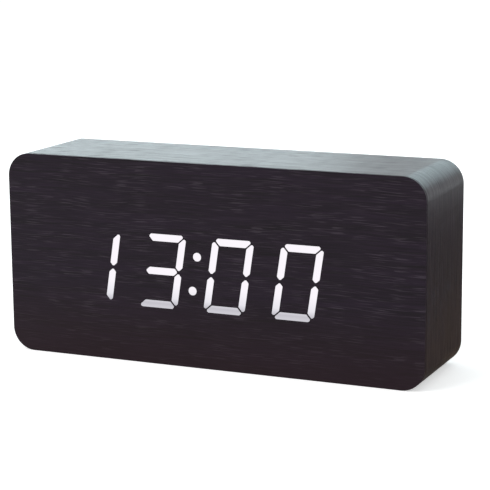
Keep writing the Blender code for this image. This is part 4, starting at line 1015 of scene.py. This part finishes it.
# %% [markdown]
# ## A dark card at the side
#
# A lacquered side seen at a slant mirrors the floor beside it, and on a white floor that would
# turn it grey. Photographers stand a dark card just out of view to keep such a side dark. This
# one is folded: a tan flap lies on the floor and gives the foot of the side its warm tone, and
# the brown part stands behind it. Reflections see the card, and the camera, the shadows and
# the soft light do not.

# %% Stand the dark card
CARD_NEAR, CARD_FAR, CARD_TOP = 69 * MM, 105 * MM, 50 * MM
# It starts level with the front, so that the front itself doesn't mirror it.
CARD_FRONT, CARD_BACK = low_corner.y, 300 * MM
fold = [(CARD_NEAR, 0.1 * MM), (CARD_FAR, 0.1 * MM), (CARD_FAR, CARD_TOP)]
card_mesh = bpy.data.meshes.new("dark_card")
card_corners = [(x, y, z) for y in (CARD_FRONT, CARD_BACK) for x, z in fold]
card_mesh.from_pydata(card_corners, [], [(0, 1, 4, 3), (1, 2, 5, 4)])
card = bpy.data.objects.new("dark_card", card_mesh)
bpy.context.scene.collection.objects.link(card)
for name, colour in (("card_tan_matt", "#8c6740"), ("card_brown_matt", "#563f2c")):
    card_mesh.materials.append(start_material(name, colour, 0.9)[0])
card_mesh.polygons[1].material_index = 1
card.visible_camera = card.visible_diffuse = card.visible_shadow = card.visible_transmission = False
print("Dark card:", round((CARD_BACK - CARD_FRONT) / MM), "by", round(CARD_TOP / MM), "mm")

# %% [markdown]
# ## The camera
#
# The photograph was taken from the front right and a little above, with a long lens, which
# keeps the block's edges nearly parallel. The angles, the distance and the lens below were
# found by fitting the case's outline to the picture. The camera is built from its three axes,
# because that states the small tilt of the picture exactly.

# %% Set up the camera
AZIMUTH, ELEVATION, TILT = (math.radians(a) for a in (23.907, 11.446, -0.459))
DISTANCE = 605.8 * MM
TARGET = Vector((4.671, 0.0, 38.919)) * MM
back = Vector((math.sin(AZIMUTH) * math.cos(ELEVATION), -math.cos(AZIMUTH) * math.cos(ELEVATION), math.sin(ELEVATION)))
across = (-back).cross(Vector((0, 0, 1))).normalized()
upward = across.cross(-back)
right = across * math.cos(TILT) + upward * math.sin(TILT)
top = upward * math.cos(TILT) - across * math.sin(TILT)
lens = bpy.data.cameras.new("camera")
lens.lens = 132.03
lens.sensor_width = 36.0
lens.clip_start = 0.01
camera = bpy.data.objects.new("camera", lens)
camera.matrix_world = Matrix.Translation(TARGET + back * DISTANCE) @ Matrix((right, top, back)).transposed().to_4x4()
bpy.context.scene.collection.objects.link(camera)
bpy.context.scene.camera = camera
bpy.context.scene.view_settings.view_transform = "Standard"
print("Camera", round(DISTANCE / MM), "mm from the clock, lens", lens.lens, "mm")

# %% [markdown]
# ## Bring the scene up to date
#
# Last, the view layer is updated, so that every piece stands where its body puts it.

# %% Update the scene
bpy.context.view_layer.update()
